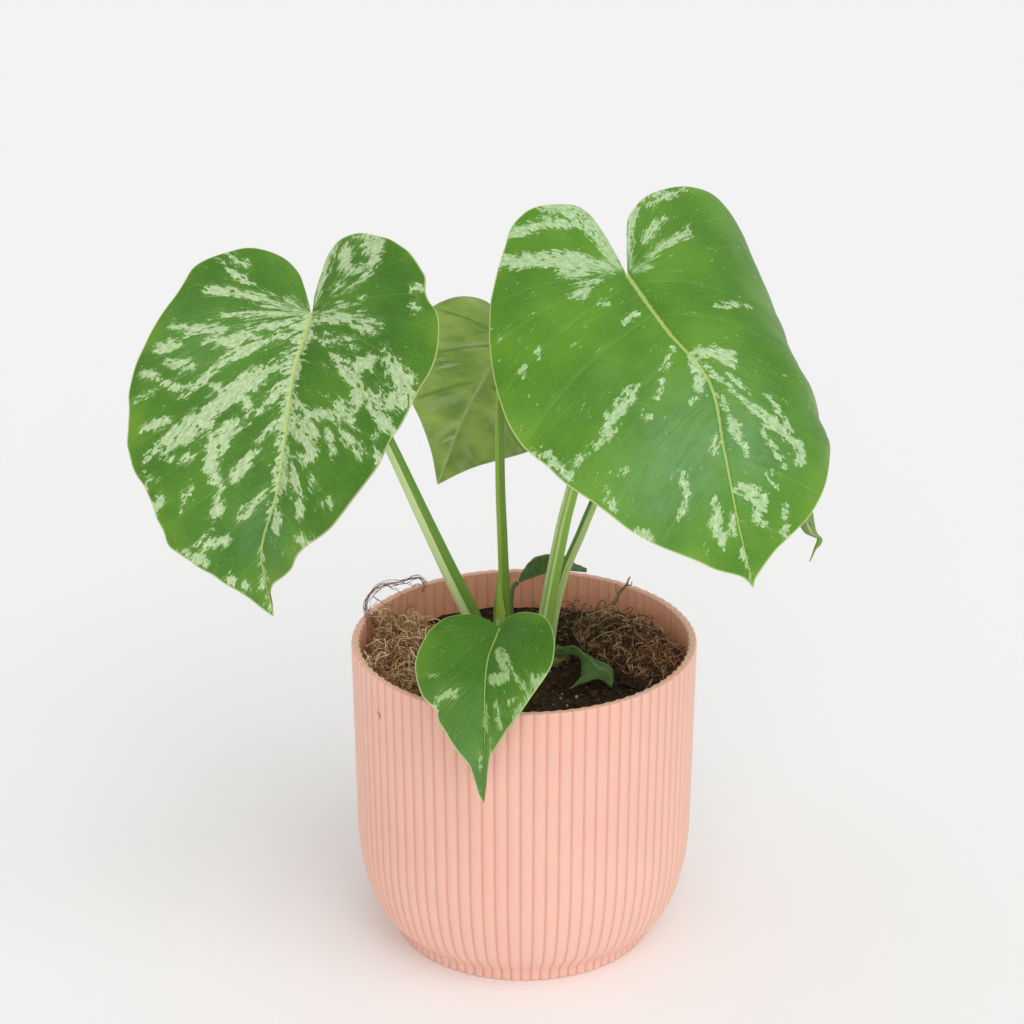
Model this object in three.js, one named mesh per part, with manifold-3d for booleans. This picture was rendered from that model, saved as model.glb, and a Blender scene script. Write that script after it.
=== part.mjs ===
// A young variegated Monstera in a fluted cover pot.
// Millimetres, +Z up. The origin is the middle of the pot's foot, and -Y is the front.
import * as THREE from 'three';
import { mergeVertices } from 'three/addons/utils/BufferGeometryUtils.js';
import Module from 'manifold-3d';

const wasm = await Module();
wasm.setup();

// Pot
const POT_HEIGHT = 147;
const RIM_RADIUS = 80;
const SHOULDER_RADIUS = 78.7;
const SHOULDER_HEIGHT = 59;
const WAIST_RADIUS = 56.6;
const WAIST_HEIGHT = 6;
const FOOT_RADIUS = 58.7;
const WALL = 3.4;
const FLOOR = 4;
const RIB_COUNT = 85;
const RIB_DEPTH = 0.9;

// Growing medium
const GAP = 0.3;
const SOIL_LEVEL = 129;
const CAVITY = { x: 20, y: -10, depth: 7, spread: 11 };
const MOSS = { x: 50, y: 14, long: 43, short: 19.5, turn: 118, height: 20 };
const COIR = { x: -53, y: -3, long: 39, short: 20, turn: 94, height: 22 };

// Crown: the short stem lies half sunk in the soil
const STEM = { from: -17, to: 14, y: 17, z: 127, radius: 8 };

// Leaves
const BLADE_THICKNESS = 0.9;
const NORMAL_STEP = 0.5;

// Shares of the sinus angle at which each half outline of a blade has its radius
const STATIONS = [0, 0.04, 0.1, 0.18, 0.28, 0.4, 0.53, 0.66, 0.79, 0.9, 0.97, 1];
const SINUS_VEIN = 17 / 18;

// spine: points from the petiole's insertion to the tip. sway: how far the midrib strays from the
// spine, at equal steps. facing: compass and height angle of the upper face at the insertion and at
// the tip, with 0 to the front. fold: each half's rise from the midrib in degrees. roll: how fast each
// half rolls back, in degrees per 100 mm, at the insertion, the middle and the tip. sinus: the angle
// from the tip round to each lobe's inner edge. radii: from the insertion to the margin, at STATIONS.
const BLADES = {
  left: {
    spine: [[-93, -20, 312], [-98, -48, 276], [-103, -68, 237], [-109, -76, 193]],
    sway: [0, -4.3, -4.7, -5.3, -9, 0],
    facing: [[-20, 30], [-18, 14]],
    fold: [14, 24],
    roll: [[22, 22, 22], [22, 22, 22]],
    sinus: [157, 170],
    radii: [[136, 128, 125, 116, 103, 87, 71, 58, 48, 33, 12],
      [136, 107, 94, 84, 78, 75, 65, 56, 46, 37, 25]],
  },
  right: {
    spine: [[45, -10, 326], [62, -50, 292], [79, -76, 255], [98, -84, 210]],
    sway: [0, 7, 16, 11, 5, 0],
    facing: [[6, 28], [14, 14]],
    fold: [4, 10],
    roll: [[22, 22, 22], [101, 131, 85]],
    sinus: [173, 161],
    radii: [[154, 134, 119, 102, 91, 74, 62, 56, 57, 51, 34],
      [154, 142, 142, 138, 126, 104, 92, 87, 66, 44, 33]],
  },
  front: {
    spine: [[-11, -52, 176], [-13, -80, 161], [-16, -93, 139], [-18, -96, 112]],
    sway: [0, -4.2, -4.3, -2.2, -0.5, 0],
    facing: [[-14, 26], [-8, 4]],
    fold: [14, 18],
    roll: [[25, 25, 25], [25, 25, 25]],
    sinus: [131, 160],
    radii: [[86, 69, 62, 54, 49, 44, 38, 31, 23, 15, 8],
      [86, 58, 46, 40, 38, 31, 23, 15, 9, 5, 3]],
  },
  back: {
    spine: [[-7, 25, 284], [-19, 40, 256], [-30, 54, 227], [-41, 65, 197]],
    sway: [0, 1, 2, 2, 1, 0],
    facing: [[180, 30], [180, 20]],
    fold: [8, 8],
    roll: [[20, 20, 20], [20, 20, 20]],
    sinus: [150, 150],
    radii: [[101, 91, 84, 78, 70, 60, 50, 42, 35, 26, 14],
      [101, 84, 71, 62, 55, 49, 43, 39, 34, 26, 14]],
  },
  back_right: {
    spine: [[76, 38, 277], [98, 55, 244], [119, 68, 206], [140.5, 74, 171]],
    sway: [0, -2, -3, -2, 0, 0],
    facing: [[150, 30], [150, 20]],
    fold: [10, 10],
    roll: [[25, 25, 25], [25, 25, 25]],
    sinus: [150, 150],
    radii: [[131, 108, 90, 75, 62, 52, 45, 40, 35, 26, 13],
      [131, 108, 90, 75, 62, 52, 45, 40, 35, 26, 13]],
  },
};

// Petioles: points from the crown to the insertion, and the radius at the base and the top
const PETIOLES = {
  left: {
    path: [[-16, 16, 129], [-25, 8, 156], [-36, 0, 185], [-48, -8, 217], [-59, -14, 246],
      [-77, -20, 290], [-87, -17, 306], [-93.1, -21.6, 308.1]],
    radius: [4.6, 2],
  },
  right: {
    path: [[7, 14, 129], [10, 14, 150], [14, 10, 177], [18.5, 4, 205], [22, 0, 222], [30, -5, 262],
      [38, -7, 297], [43, -6, 316], [46.3, -12.1, 322.6]],
    radius: [3.7, 2.2],
  },
  back: {
    path: [[-8.5, 18, 129], [-9, 16, 158], [-10, 14, 190], [-11, 15, 220], [-11, 18, 258],
      [-9, 20, 277], [-7, 23, 284]],
    radius: [2.7, 1.9],
  },
  back_right: {
    path: [[11.5, 21, 129], [14.5, 20, 152], [19.5, 22, 172], [26, 24, 188], [32, 26, 203],
      [47, 31, 238], [63, 33, 263], [77.2, 38.4, 274.1]],
    radius: [2.6, 1.7],
  },
  front: {
    path: [[-9, 13, 132], [-10, 0, 145], [-11, -20, 161], [-11, -40, 173], [-11.2, -54.6, 173.4]],
    radius: [2.3, 1.6],
  },
  curled: {
    path: [[-4, 22.5, 132], [-6, 31, 143], [-6, 37, 150], [-5, 40, 155], [-2.7, 41.5, 156.6]],
    radius: [1.7, 1.1],
  },
};

// Small leaves: rails along the leaf from its stalk to its tip, and the lines across join them
const CURLED_RAILS = [
  [[-2, 42, 156.3], [5, 38, 161], [11, 39, 162.5], [17, 43, 162], [23, 49, 159], [30, 59, 154]],
  [[-2, 42.5, 157.5], [4, 45, 166], [12, 48, 167.5], [19, 52, 165], [24, 56, 160], [30, 60, 155]],
  [[-2, 43.2, 156.6], [3, 52, 162], [11, 57, 163], [18, 60, 161], [24, 61, 157], [30, 60.8, 154]],
];
const YOUNG_RAILS = [
  [[15, 10.2, 132.4], [24, 4, 136], [27, -4, 134.5], [25, -14, 132.5], [21, -22, 131.5],
    [27, -18, 132.5], [33, -16, 133.5], [37, -19, 133.5], [39.5, -24, 133]],
  [[15, 12, 135.5], [23, 8, 139.5], [28, 2, 138.5], [34, -4, 137.5], [38, -7, 137],
    [40.5, -12, 137], [41, -16, 136], [41, -20, 134.5], [40.2, -24, 133.5]],
];

// Fine things
const ROOT_LOOP = [[-70, 17, 144], [-74, 21, 150], [-74, 25, 154], [-71, 29, 157.5], [-66, 34, 159],
  [-58, 42, 156.5], [-50, 50, 155], [-47.5, 53, 151], [-48.5, 53, 147]];
const ROOT_RADIUS = 0.6;
const TWIG = [[42, 38, 147], [45, 42, 149], [48, 46, 152.5], [51, 50, 155.5]];
const TWIG_RADIUS = 0.8;

const MATERIALS = {
  pot: { color: 0xf0b59f, roughness: 0.55 },
  soil: { color: 0x2e211a, roughness: 1 },
  coir: { color: 0x7a563c, roughness: 1 },
  moss: { color: 0x5c4a30, roughness: 1 },
  leaf: { color: 0x4f8f33, roughness: 0.45 },
  dark_leaf: { color: 0x2f5f33, roughness: 0.5 },
  petiole: { color: 0x7fa84a, roughness: 0.5 },
  root: { color: 0x5a4334, roughness: 0.9 },
};

const group = new THREE.Group();
const vec = (p) => new THREE.Vector3(...p);
const radians = THREE.MathUtils.degToRad;

function add(name, geometry, look) {
  const material = new THREE.MeshStandardMaterial({ ...MATERIALS[look], metalness: 0 });
  const mesh = new THREE.Mesh(geometry, material);
  mesh.name = name;
  group.add(mesh);
}

// Joining and cutting of closed meshes
function toSolid(geometry) {
  const bare = geometry.clone();
  bare.deleteAttribute('normal');
  bare.deleteAttribute('uv');
  const merged = mergeVertices(bare, 1e-4);
  return new wasm.Manifold(new wasm.Mesh({
    numProp: 3,
    vertProperties: new Float32Array(merged.attributes.position.array),
    triVerts: new Uint32Array(merged.index.array),
  }));
}

function toGeometry(solid) {
  const mesh = solid.getMesh();
  const geometry = new THREE.BufferGeometry();
  geometry.setAttribute('position', new THREE.BufferAttribute(mesh.vertProperties, 3));
  geometry.setIndex(new THREE.BufferAttribute(mesh.triVerts, 1));
  return geometry;
}

// Takes the tool away and keeps the largest body that is left
function cut(geometry, tool) {
  const bodies = toSolid(geometry).subtract(toSolid(tool)).decompose();
  return toGeometry(bodies.reduce((best, body) => (body.volume() > best.volume() ? body : best)));
}

function indexed(points, faces) {
  const geometry = new THREE.BufferGeometry();
  const numbers = points.flatMap((p) => p.toArray());
  geometry.setAttribute('position', new THREE.Float32BufferAttribute(numbers, 3));
  geometry.setIndex(faces);
  return geometry;
}

// Smooth curve through evenly counted values or points
function spline(values, u) {
  const last = values.length - 1;
  const i = Math.min(Math.floor(u), last - 1);
  const at = (k) => {
    if (k < 0) return 2 * values[0] - values[1];
    if (k > last) return 2 * values[last] - values[last - 1];
    return values[k];
  };
  const [a, b, c, d] = [at(i - 1), at(i), at(i + 1), at(i + 2)];
  const t = u - i;
  return 0.5 * (2 * b + (c - a) * t + (2 * a - 5 * b + 4 * c - d) * t * t + (3 * b - a - 3 * c + d) * t ** 3);
}

const splinePoint = (points, u) => vec([0, 1, 2].map((k) => spline(points.map((p) => p[k]), u)));

// The normal at each point of a grid, from the points round it
function gridNormals(grid) {
  const [lastRow, lastColumn] = [grid.length - 1, grid[0].length - 1];
  return grid.map((row, i) => row.map((_, j) => {
    const along = grid[Math.min(i + 1, lastRow)][j].clone().sub(grid[Math.max(i - 1, 0)][j]);
    const across = row[Math.min(j + 1, lastColumn)].clone().sub(row[Math.max(j - 1, 0)]);
    return across.cross(along).normalize();
  }));
}

// A thin closed body around a grid of points, rows of equal length
function sheetSolid(grid, normals, thickness) {
  const rows = grid.length;
  const columns = grid[0].length;
  const points = [];
  for (const side of [0.5, -0.5]) {
    for (let i = 0; i < rows; i += 1) {
      for (let j = 0; j < columns; j += 1) {
        points.push(grid[i][j].clone().addScaledVector(normals[i][j], side * thickness));
      }
    }
  }
  const top = (i, j) => i * columns + j;
  const bottom = (i, j) => rows * columns + top(i, j);
  const faces = [];
  const quad = (a, b, c, d) => faces.push(a, b, c, a, c, d);
  for (let i = 0; i < rows - 1; i += 1) {
    for (let j = 0; j < columns - 1; j += 1) {
      quad(top(i, j), top(i, j + 1), top(i + 1, j + 1), top(i + 1, j));
      quad(bottom(i, j), bottom(i + 1, j), bottom(i + 1, j + 1), bottom(i, j + 1));
    }
    quad(top(i, 0), top(i + 1, 0), bottom(i + 1, 0), bottom(i, 0));
    quad(top(i + 1, columns - 1), top(i, columns - 1), bottom(i, columns - 1), bottom(i + 1, columns - 1));
  }
  for (let j = 0; j < columns - 1; j += 1) {
    quad(top(0, j + 1), top(0, j), bottom(0, j), bottom(0, j + 1));
    quad(top(rows - 1, j), top(rows - 1, j + 1), bottom(rows - 1, j + 1), bottom(rows - 1, j));
  }
  return indexed(points, faces);
}

// A rod along a smooth path, with its radius running from one end's to the other's
function rod(path, [startRadius, endRadius], steps, sides) {
  const centres = [];
  for (let i = 0; i <= steps; i += 1) centres.push(splinePoint(path, (i / steps) * (path.length - 1)));
  const points = [];
  const faces = [];
  let side = new THREE.Vector3(1, 0, 0);
  centres.forEach((centre, i) => {
    const before = centres[Math.max(i - 1, 0)];
    const after = centres[Math.min(i + 1, steps)];
    const tangent = after.clone().sub(before).normalize();
    side.addScaledVector(tangent, -side.dot(tangent)).normalize();
    const other = tangent.clone().cross(side);
    const radius = THREE.MathUtils.lerp(startRadius, endRadius, i / steps);
    for (let k = 0; k < sides; k += 1) {
      const angle = (k / sides) * 2 * Math.PI;
      const spoke = side.clone().multiplyScalar(Math.cos(angle) * radius);
      spoke.addScaledVector(other, Math.sin(angle) * radius);
      points.push(centre.clone().add(spoke));
    }
    if (i === 0) return;
    for (let k = 0; k < sides; k += 1) {
      const a = (i - 1) * sides + k;
      const b = (i - 1) * sides + ((k + 1) % sides);
      faces.push(a, b, b + sides, a, b + sides, a + sides);
    }
  });
  const lastRing = steps * sides;
  for (let k = 1; k < sides - 1; k += 1) {
    faces.push(0, k + 1, k);
    faces.push(lastRing, lastRing + k, lastRing + k + 1);
  }
  return indexed(points, faces);
}

// Pot: a turned profile whose wall is pressed into ribs, inside and outside alike
function wallRadius(z) {
  if (z < WAIST_HEIGHT) return THREE.MathUtils.lerp(FOOT_RADIUS, WAIST_RADIUS, z / WAIST_HEIGHT);
  if (z > SHOULDER_HEIGHT) {
    const share = (z - SHOULDER_HEIGHT) / (POT_HEIGHT - SHOULDER_HEIGHT);
    return THREE.MathUtils.lerp(SHOULDER_RADIUS, RIM_RADIUS, share);
  }
  const drop = (SHOULDER_HEIGHT - z) / (SHOULDER_HEIGHT - WAIST_HEIGHT);
  return WAIST_RADIUS + (SHOULDER_RADIUS - WAIST_RADIUS) * Math.sqrt(1 - drop * drop);
}

const innerRadius = (z) => wallRadius(z) - WALL;

function potGeometry() {
  const outside = [0, WAIST_HEIGHT, 9, 16, 27, 41, SHOULDER_HEIGHT, 100, POT_HEIGHT];
  const inside = [POT_HEIGHT, 100, SHOULDER_HEIGHT, 36, 20];
  const profile = [new THREE.Vector2(0, 0)];
  for (const z of outside) profile.push(new THREE.Vector2(wallRadius(z), z));
  for (const z of inside) profile.push(new THREE.Vector2(innerRadius(z), z));
  profile.push(new THREE.Vector2(innerRadius(12) - 2, FLOOR + 4));
  profile.push(new THREE.Vector2(WAIST_RADIUS - 8, FLOOR));
  profile.push(new THREE.Vector2(0, FLOOR));
  const geometry = new THREE.LatheGeometry(profile, 2 * RIB_COUNT);
  const position = geometry.attributes.position;
  for (let i = 0; i < position.count; i += 1) {
    const point = new THREE.Vector3().fromBufferAttribute(position, i);
    const radius = Math.hypot(point.x, point.z);
    const step = Math.round((Math.atan2(point.x, point.z) / Math.PI) * RIB_COUNT);
    if (step % 2 === 0 || radius < WAIST_RADIUS - 9 || point.y < 1) continue;
    const shrink = (radius - RIB_DEPTH) / radius;
    position.setXYZ(i, point.x * shrink, point.y, point.z * shrink);
  }
  return geometry.rotateX(Math.PI / 2);
}

// Soil: fills the pot to below the rim, with a hollow beside the crown
function soilTop(x, y) {
  const distance = Math.hypot(x - CAVITY.x, y - CAVITY.y) / CAVITY.spread;
  return SOIL_LEVEL - CAVITY.depth * Math.exp(-0.5 * distance * distance);
}

function soilGeometry() {
  const edge = (z) => innerRadius(z) - RIB_DEPTH - 2 * GAP;
  const profile = [new THREE.Vector2(0, FLOOR + GAP), new THREE.Vector2(WAIST_RADIUS - 9, FLOOR + GAP)];
  profile.push(new THREE.Vector2(innerRadius(12) - 4, FLOOR + 5));
  for (const z of [21, 36, SHOULDER_HEIGHT, 100, SOIL_LEVEL]) profile.push(new THREE.Vector2(edge(z), z));
  for (const share of [0.85, 0.7, 0.55, 0.4, 0.25, 0.12]) {
    profile.push(new THREE.Vector2(edge(SOIL_LEVEL) * share, SOIL_LEVEL));
  }
  profile.push(new THREE.Vector2(0, SOIL_LEVEL));
  const geometry = new THREE.LatheGeometry(profile, 48).rotateX(Math.PI / 2);
  const position = geometry.attributes.position;
  for (let i = 0; i < position.count; i += 1) {
    const [x, y, z] = [position.getX(i), position.getY(i), position.getZ(i)];
    if (z > SOIL_LEVEL - 1) position.setZ(i, soilTop(x, y));
  }
  return geometry;
}

// Heaps of fibre and moss on the soil: oval in plan, clear of the wall, domed and lumpy
function heapGeometry({ x, y, long, short, turn, height }, seed) {
  const rings = 6;
  const spokes = 24;
  const base = SOIL_LEVEL + GAP;
  const limit = innerRadius(SOIL_LEVEL) - RIB_DEPTH - 2 * GAP;
  const place = (share, angle) => {
    const u = long * share * Math.cos(angle);
    const v = short * share * Math.sin(angle);
    const point = new THREE.Vector2(u, v).rotateAround(new THREE.Vector2(), radians(turn));
    point.x += x;
    point.y += y;
    if (point.length() > limit) point.setLength(limit);
    return point;
  };
  const points = [];
  const faces = [];
  for (const layer of [1, 0]) {
    points.push(new THREE.Vector3(x, y, base + layer * height));
    for (let i = 1; i <= rings; i += 1) {
      for (let k = 0; k < spokes; k += 1) {
        const angle = (k / spokes) * 2 * Math.PI;
        const flat = place(i / rings, angle);
        const dome = Math.sqrt(1 - (0.98 * i / rings) ** 2.4);
        const lumps = 1 + 0.1 * Math.sin(3 * angle + seed + i) * Math.cos(1.7 * i + seed);
        points.push(new THREE.Vector3(flat.x, flat.y, base + layer * height * dome * lumps));
      }
    }
  }
  const at = (layer, i, k) => {
    const first = layer * (rings * spokes + 1);
    return i === 0 ? first : first + 1 + (i - 1) * spokes + (k % spokes);
  };
  for (let i = 0; i < rings; i += 1) {
    for (let k = 0; k < spokes; k += 1) {
      faces.push(at(0, i, k), at(0, i + 1, k), at(0, i + 1, k + 1));
      faces.push(at(1, i, k), at(1, i + 1, k + 1), at(1, i + 1, k));
      if (i > 0) {
        faces.push(at(0, i, k), at(0, i + 1, k + 1), at(0, i, k + 1));
        faces.push(at(1, i, k), at(1, i, k + 1), at(1, i + 1, k + 1));
      }
    }
  }
  for (let k = 0; k < spokes; k += 1) {
    faces.push(at(0, rings, k), at(1, rings, k), at(1, rings, k + 1));
    faces.push(at(0, rings, k), at(1, rings, k + 1), at(0, rings, k + 1));
  }
  return indexed(points, faces);
}

// Crown stem: a short thick rod with round ends
function stemGeometry(grow) {
  const { from, to, y, z, radius } = STEM;
  const geometry = new THREE.CapsuleGeometry(radius + grow, to - from, 4, 16);
  return geometry.rotateZ(Math.PI / 2).translate((from + to) / 2, y, z);
}

// Blade: a heart-shaped sheet around a spine. Places on it are flat ones: across and along the spine.
function bladeForm(blade) {
  const samples = [];
  let length = 0;
  for (let i = 0; i <= 100; i += 1) {
    const point = splinePoint(blade.spine, (i / 100) * (blade.spine.length - 1));
    if (i > 0) length += point.distanceTo(samples[i - 1].point);
    samples.push({ point, at: length });
  }
  const facing = blade.facing.map(([compass, height]) => new THREE.Vector3(
    Math.sin(radians(compass)) * Math.cos(radians(height)),
    -Math.cos(radians(compass)) * Math.cos(radians(height)),
    Math.sin(radians(height)),
  ));
  const sway = (y) => {
    const share = THREE.MathUtils.clamp(y / length, 0, 1);
    return spline(blade.sway, share * (blade.sway.length - 1));
  };
  const place = (x, y) => {
    const inside = THREE.MathUtils.clamp(y, 0, length);
    const next = Math.max(1, samples.findIndex((s) => s.at >= inside - 1e-9));
    const [a, b] = [samples[next - 1], samples[next]];
    const tangent = b.point.clone().sub(a.point).normalize();
    const foot = a.point.clone().addScaledVector(tangent, y - a.at);
    const up = facing[0].clone().lerp(facing[1], inside / length);
    up.addScaledVector(tangent, -up.dot(tangent)).normalize();
    const across = up.clone().cross(tangent);
    const out = x - sway(y);
    const half = out > 0 ? 1 : 0;
    const fold = radians(blade.fold[half]);
    const roll = radians(spline(blade.roll[half], (2 * inside) / length)) / 100;
    const turned = fold - roll * Math.abs(out);
    const reach = (Math.sin(fold) - Math.sin(turned)) / roll;
    const rise = (Math.cos(turned) - Math.cos(fold)) / roll;
    return foot.addScaledVector(across, sway(y) + Math.sign(out) * reach).addScaledVector(up, rise);
  };
  const normal = (x, y) => {
    const along = place(x, y + NORMAL_STEP).sub(place(x, y - NORMAL_STEP));
    const across = place(x + NORMAL_STEP, y).sub(place(x - NORMAL_STEP, y));
    return along.cross(across).normalize();
  };
  return { length, sway, place, normal };
}

// Side veins run in bows from the midrib to the margin. vein is 0 at the tip and SINUS_VEIN along the
// edges of the sinus, and out is 0 at the midrib and 1 at the margin.
function veinPlace(blade, { length, sway }, half, vein, out) {
  const u = vein * (STATIONS.length - 1);
  const radius = spline([...blade.radii[half], 1.5], u);
  const angle = radians(spline(STATIONS, u) * blade.sinus[half]);
  const sign = half === 0 ? -1 : 1;
  const margin = new THREE.Vector2(sign * (Math.sin(angle) * radius + 0.5), Math.cos(angle) * radius);
  const foot = (length - 1) * (1 - vein) ** 1.6;
  const start = new THREE.Vector2(sway(foot), foot);
  const bow = start.clone().lerp(margin, 0.5);
  bow.y -= 0.1 * start.distanceTo(margin);
  start.multiplyScalar((1 - out) ** 2);
  return start.addScaledVector(bow, 2 * out * (1 - out)).addScaledVector(margin, out * out);
}

function bladeGeometry(blade, thickness) {
  const form = bladeForm(blade);
  const rows = 17;
  const columns = Math.max(...blade.roll.flat()) > 60 ? 6 : 4;
  const [grid, normals] = [[], []];
  for (let i = 0; i <= rows; i += 1) {
    const flat = [];
    for (let j = -columns; j <= columns; j += 1) {
      flat.push(veinPlace(blade, form, j < 0 ? 0 : 1, (SINUS_VEIN * i) / rows, Math.abs(j) / columns));
    }
    grid.push(flat.map(({ x, y }) => form.place(x, y)));
    normals.push(flat.map(({ x, y }) => form.normal(x, y)));
  }
  return sheetSolid(grid, normals, thickness);
}

// A small leaf as a sheet between rails
function railGeometry(rails, thickness, rows, columns) {
  const grid = [];
  for (let i = 0; i <= rows; i += 1) {
    const line = rails.map((rail) => splinePoint(rail, (i / rows) * (rail.length - 1)).toArray());
    const row = [];
    for (let j = 0; j <= columns; j += 1) row.push(splinePoint(line, (j / columns) * (line.length - 1)));
    grid.push(row);
  }
  return sheetSolid(grid, gridNormals(grid), thickness);
}

add('pot', potGeometry(), 'pot');
add('soil', cut(soilGeometry(), stemGeometry(GAP)), 'soil');
add('coir_clump', heapGeometry(COIR, 1), 'coir');
add('moss_mound', heapGeometry(MOSS, 4), 'moss');
add('stem', stemGeometry(0), 'petiole');

for (const [name, blade] of Object.entries(BLADES)) {
  add(`blade_${name}`, bladeGeometry(blade, BLADE_THICKNESS), 'leaf');
}

for (const [name, { path, radius }] of Object.entries(PETIOLES)) {
  let geometry = cut(rod(path, radius, 14, 8), stemGeometry(GAP));
  if (BLADES[name]) geometry = cut(geometry, bladeGeometry(BLADES[name], BLADE_THICKNESS + 2 * GAP));
  add(`petiole_${name}`, geometry, name === 'curled' ? 'dark_leaf' : 'petiole');
}

add('blade_curled', railGeometry(CURLED_RAILS, 0.7, 12, 4), 'dark_leaf');
add('blade_young', railGeometry(YOUNG_RAILS, 0.7, 16, 3), 'dark_leaf');
add('root_loop', rod(ROOT_LOOP, [ROOT_RADIUS, ROOT_RADIUS], 24, 6), 'root');
add('twig', rod(TWIG, [TWIG_RADIUS, TWIG_RADIUS * 0.7], 6, 6), 'root');

export default group;
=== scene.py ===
"""Looks of a young variegated Monstera in a fluted cover pot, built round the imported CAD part.

Lengths in the tables are millimetres in the part's own frame, and METRES turns them into scene units.
Colours are screen values of 0 to 255. Every random draw comes from a generator with its own seed.
"""
import math

import bpy
import numpy as np
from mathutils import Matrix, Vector, noise


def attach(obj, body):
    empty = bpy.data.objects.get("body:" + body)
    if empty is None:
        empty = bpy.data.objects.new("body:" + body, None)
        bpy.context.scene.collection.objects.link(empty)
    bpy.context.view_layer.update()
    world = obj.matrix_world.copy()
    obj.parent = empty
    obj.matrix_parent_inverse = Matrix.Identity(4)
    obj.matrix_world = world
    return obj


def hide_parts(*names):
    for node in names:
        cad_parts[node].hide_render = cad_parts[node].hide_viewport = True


METRES = 0.001
FULL_TURN = 2 * math.pi
VECTORS = "flat", "vein", "stripe"      # attributes of three numbers; the others have one

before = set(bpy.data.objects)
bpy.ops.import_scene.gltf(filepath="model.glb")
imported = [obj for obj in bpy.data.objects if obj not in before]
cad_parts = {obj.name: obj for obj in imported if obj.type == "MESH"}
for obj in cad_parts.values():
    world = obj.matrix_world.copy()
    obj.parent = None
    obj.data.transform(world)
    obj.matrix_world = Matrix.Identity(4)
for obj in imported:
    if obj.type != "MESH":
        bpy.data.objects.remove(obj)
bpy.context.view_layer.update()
scene = bpy.context.scene
scene.view_settings.view_transform = "Standard"


# ---- helpers

def spline(values, u):
    """Smooth curve through evenly counted values or points, at each u."""
    v = np.asarray(values, float)
    single = v.ndim == 1
    if single:
        v = v[:, None]
    padded = np.vstack([2 * v[0] - v[1], v, 2 * v[-1] - v[-2]])
    u = np.asarray(u, float)
    i = np.clip(np.floor(u).astype(int), 0, len(v) - 2)
    t = (u - i)[..., None]
    a, b, c, d = (padded[i + k] for k in range(4))
    out = 0.5 * (2 * b + (c - a) * t + (2 * a - 5 * b + 4 * c - d) * t**2 + (3 * b - a - 3 * c + d) * t**3)
    return out[..., 0] if single else out


def even_path(points, count, fine=40):
    """Count points, evenly far apart, on the smooth curve through points."""
    dense = spline(points, np.linspace(0, len(points) - 1, fine * (len(points) - 1) + 1))
    run = np.r_[0, np.cumsum(np.linalg.norm(np.diff(dense, axis=0), axis=1))]
    at = np.linspace(0, run[-1], count)
    return np.stack([np.interp(at, run, dense[:, k]) for k in range(dense.shape[1])], 1)


def unit(v):
    """The vectors at length 1."""
    return v / np.maximum(np.linalg.norm(v, axis=-1, keepdims=True), 1e-12)


def smooth(lo, hi, x):
    """0 below lo, 1 above hi, a soft step between."""
    t = np.clip((x - lo) / (hi - lo), 0, 1)
    return t * t * (3 - 2 * t)


def bell(x, width):
    """1 where x is 0, falling to 0 over a few widths."""
    return np.exp(-((x / width) ** 2))


def circle(count):
    """Angles of count points evenly round a circle."""
    return np.arange(count) * FULL_TURN / count


def ripples(points, wavelength, seed, waves=9):
    """Smooth random values of about -1 to 1 that change over a wavelength."""
    own = np.random.default_rng(seed)
    total = np.zeros(points.shape[:-1])
    for _ in range(waves):
        direction = unit(own.normal(size=points.shape[-1]))
        length = wavelength * own.uniform(0.7, 1.6)
        total += np.sin(points @ direction * FULL_TURN / length + own.uniform(0, FULL_TURN))
    return total / math.sqrt(waves)


def lumps(points, size, depth=3):
    """Fractal noise at each point."""
    values = [noise.fractal(Vector(p) / size, 0.9, 2.1, depth) for p in points.reshape(-1, 3)]
    return np.array(values).reshape(points.shape[:-1])


def grid_faces(rows, columns, wrap=False, flip=False):
    """Quads of a grid of points whose number runs along the rows."""
    i, j = np.meshgrid(np.arange(rows - 1), np.arange(columns if wrap else columns - 1), indexing="ij")
    right = (j + 1) % columns
    quads = np.stack([i * columns + j, i * columns + right, (i + 1) * columns + right, (i + 1) * columns + j], -1)
    quads = quads.reshape(-1, 4)
    return quads[:, ::-1] if flip else quads


def tubes(paths, radii, sides, ahead=None):
    """Tubes round paths of equal point counts, their ends drawn to points by the radii."""
    paths = np.asarray(paths, float)
    count, length = paths.shape[:2]
    tangent = unit(np.gradient(paths, axis=1))
    side = np.broadcast_to([1.0, 0.0, 0.0], (count, 3)) if ahead is None else ahead
    right = unit(side[:, None] - (side[:, None] * tangent).sum(-1, keepdims=True) * tangent)
    back = np.cross(tangent, right)
    turn = circle(sides)[:, None]
    ring = np.cos(turn) * right[:, :, None] + np.sin(turn) * back[:, :, None]
    points = paths[:, :, None] + ring * np.broadcast_to(radii, (count, length))[:, :, None, None]
    faces = grid_faces(length, sides, wrap=True) + (np.arange(count) * length * sides)[:, None, None]
    return points.reshape(-1, 3), faces.reshape(-1, 4)


def joined(parts):
    """Several (points, faces) as one."""
    first = np.cumsum([0] + [len(points) for points, _ in parts])
    return np.vstack([points for points, _ in parts]), np.vstack([f + k for (_, f), k in zip(parts, first)])


def add(name, data):
    """A new object in the scene."""
    made = bpy.data.objects.new(name, data)
    scene.collection.objects.link(made)
    return made


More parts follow.
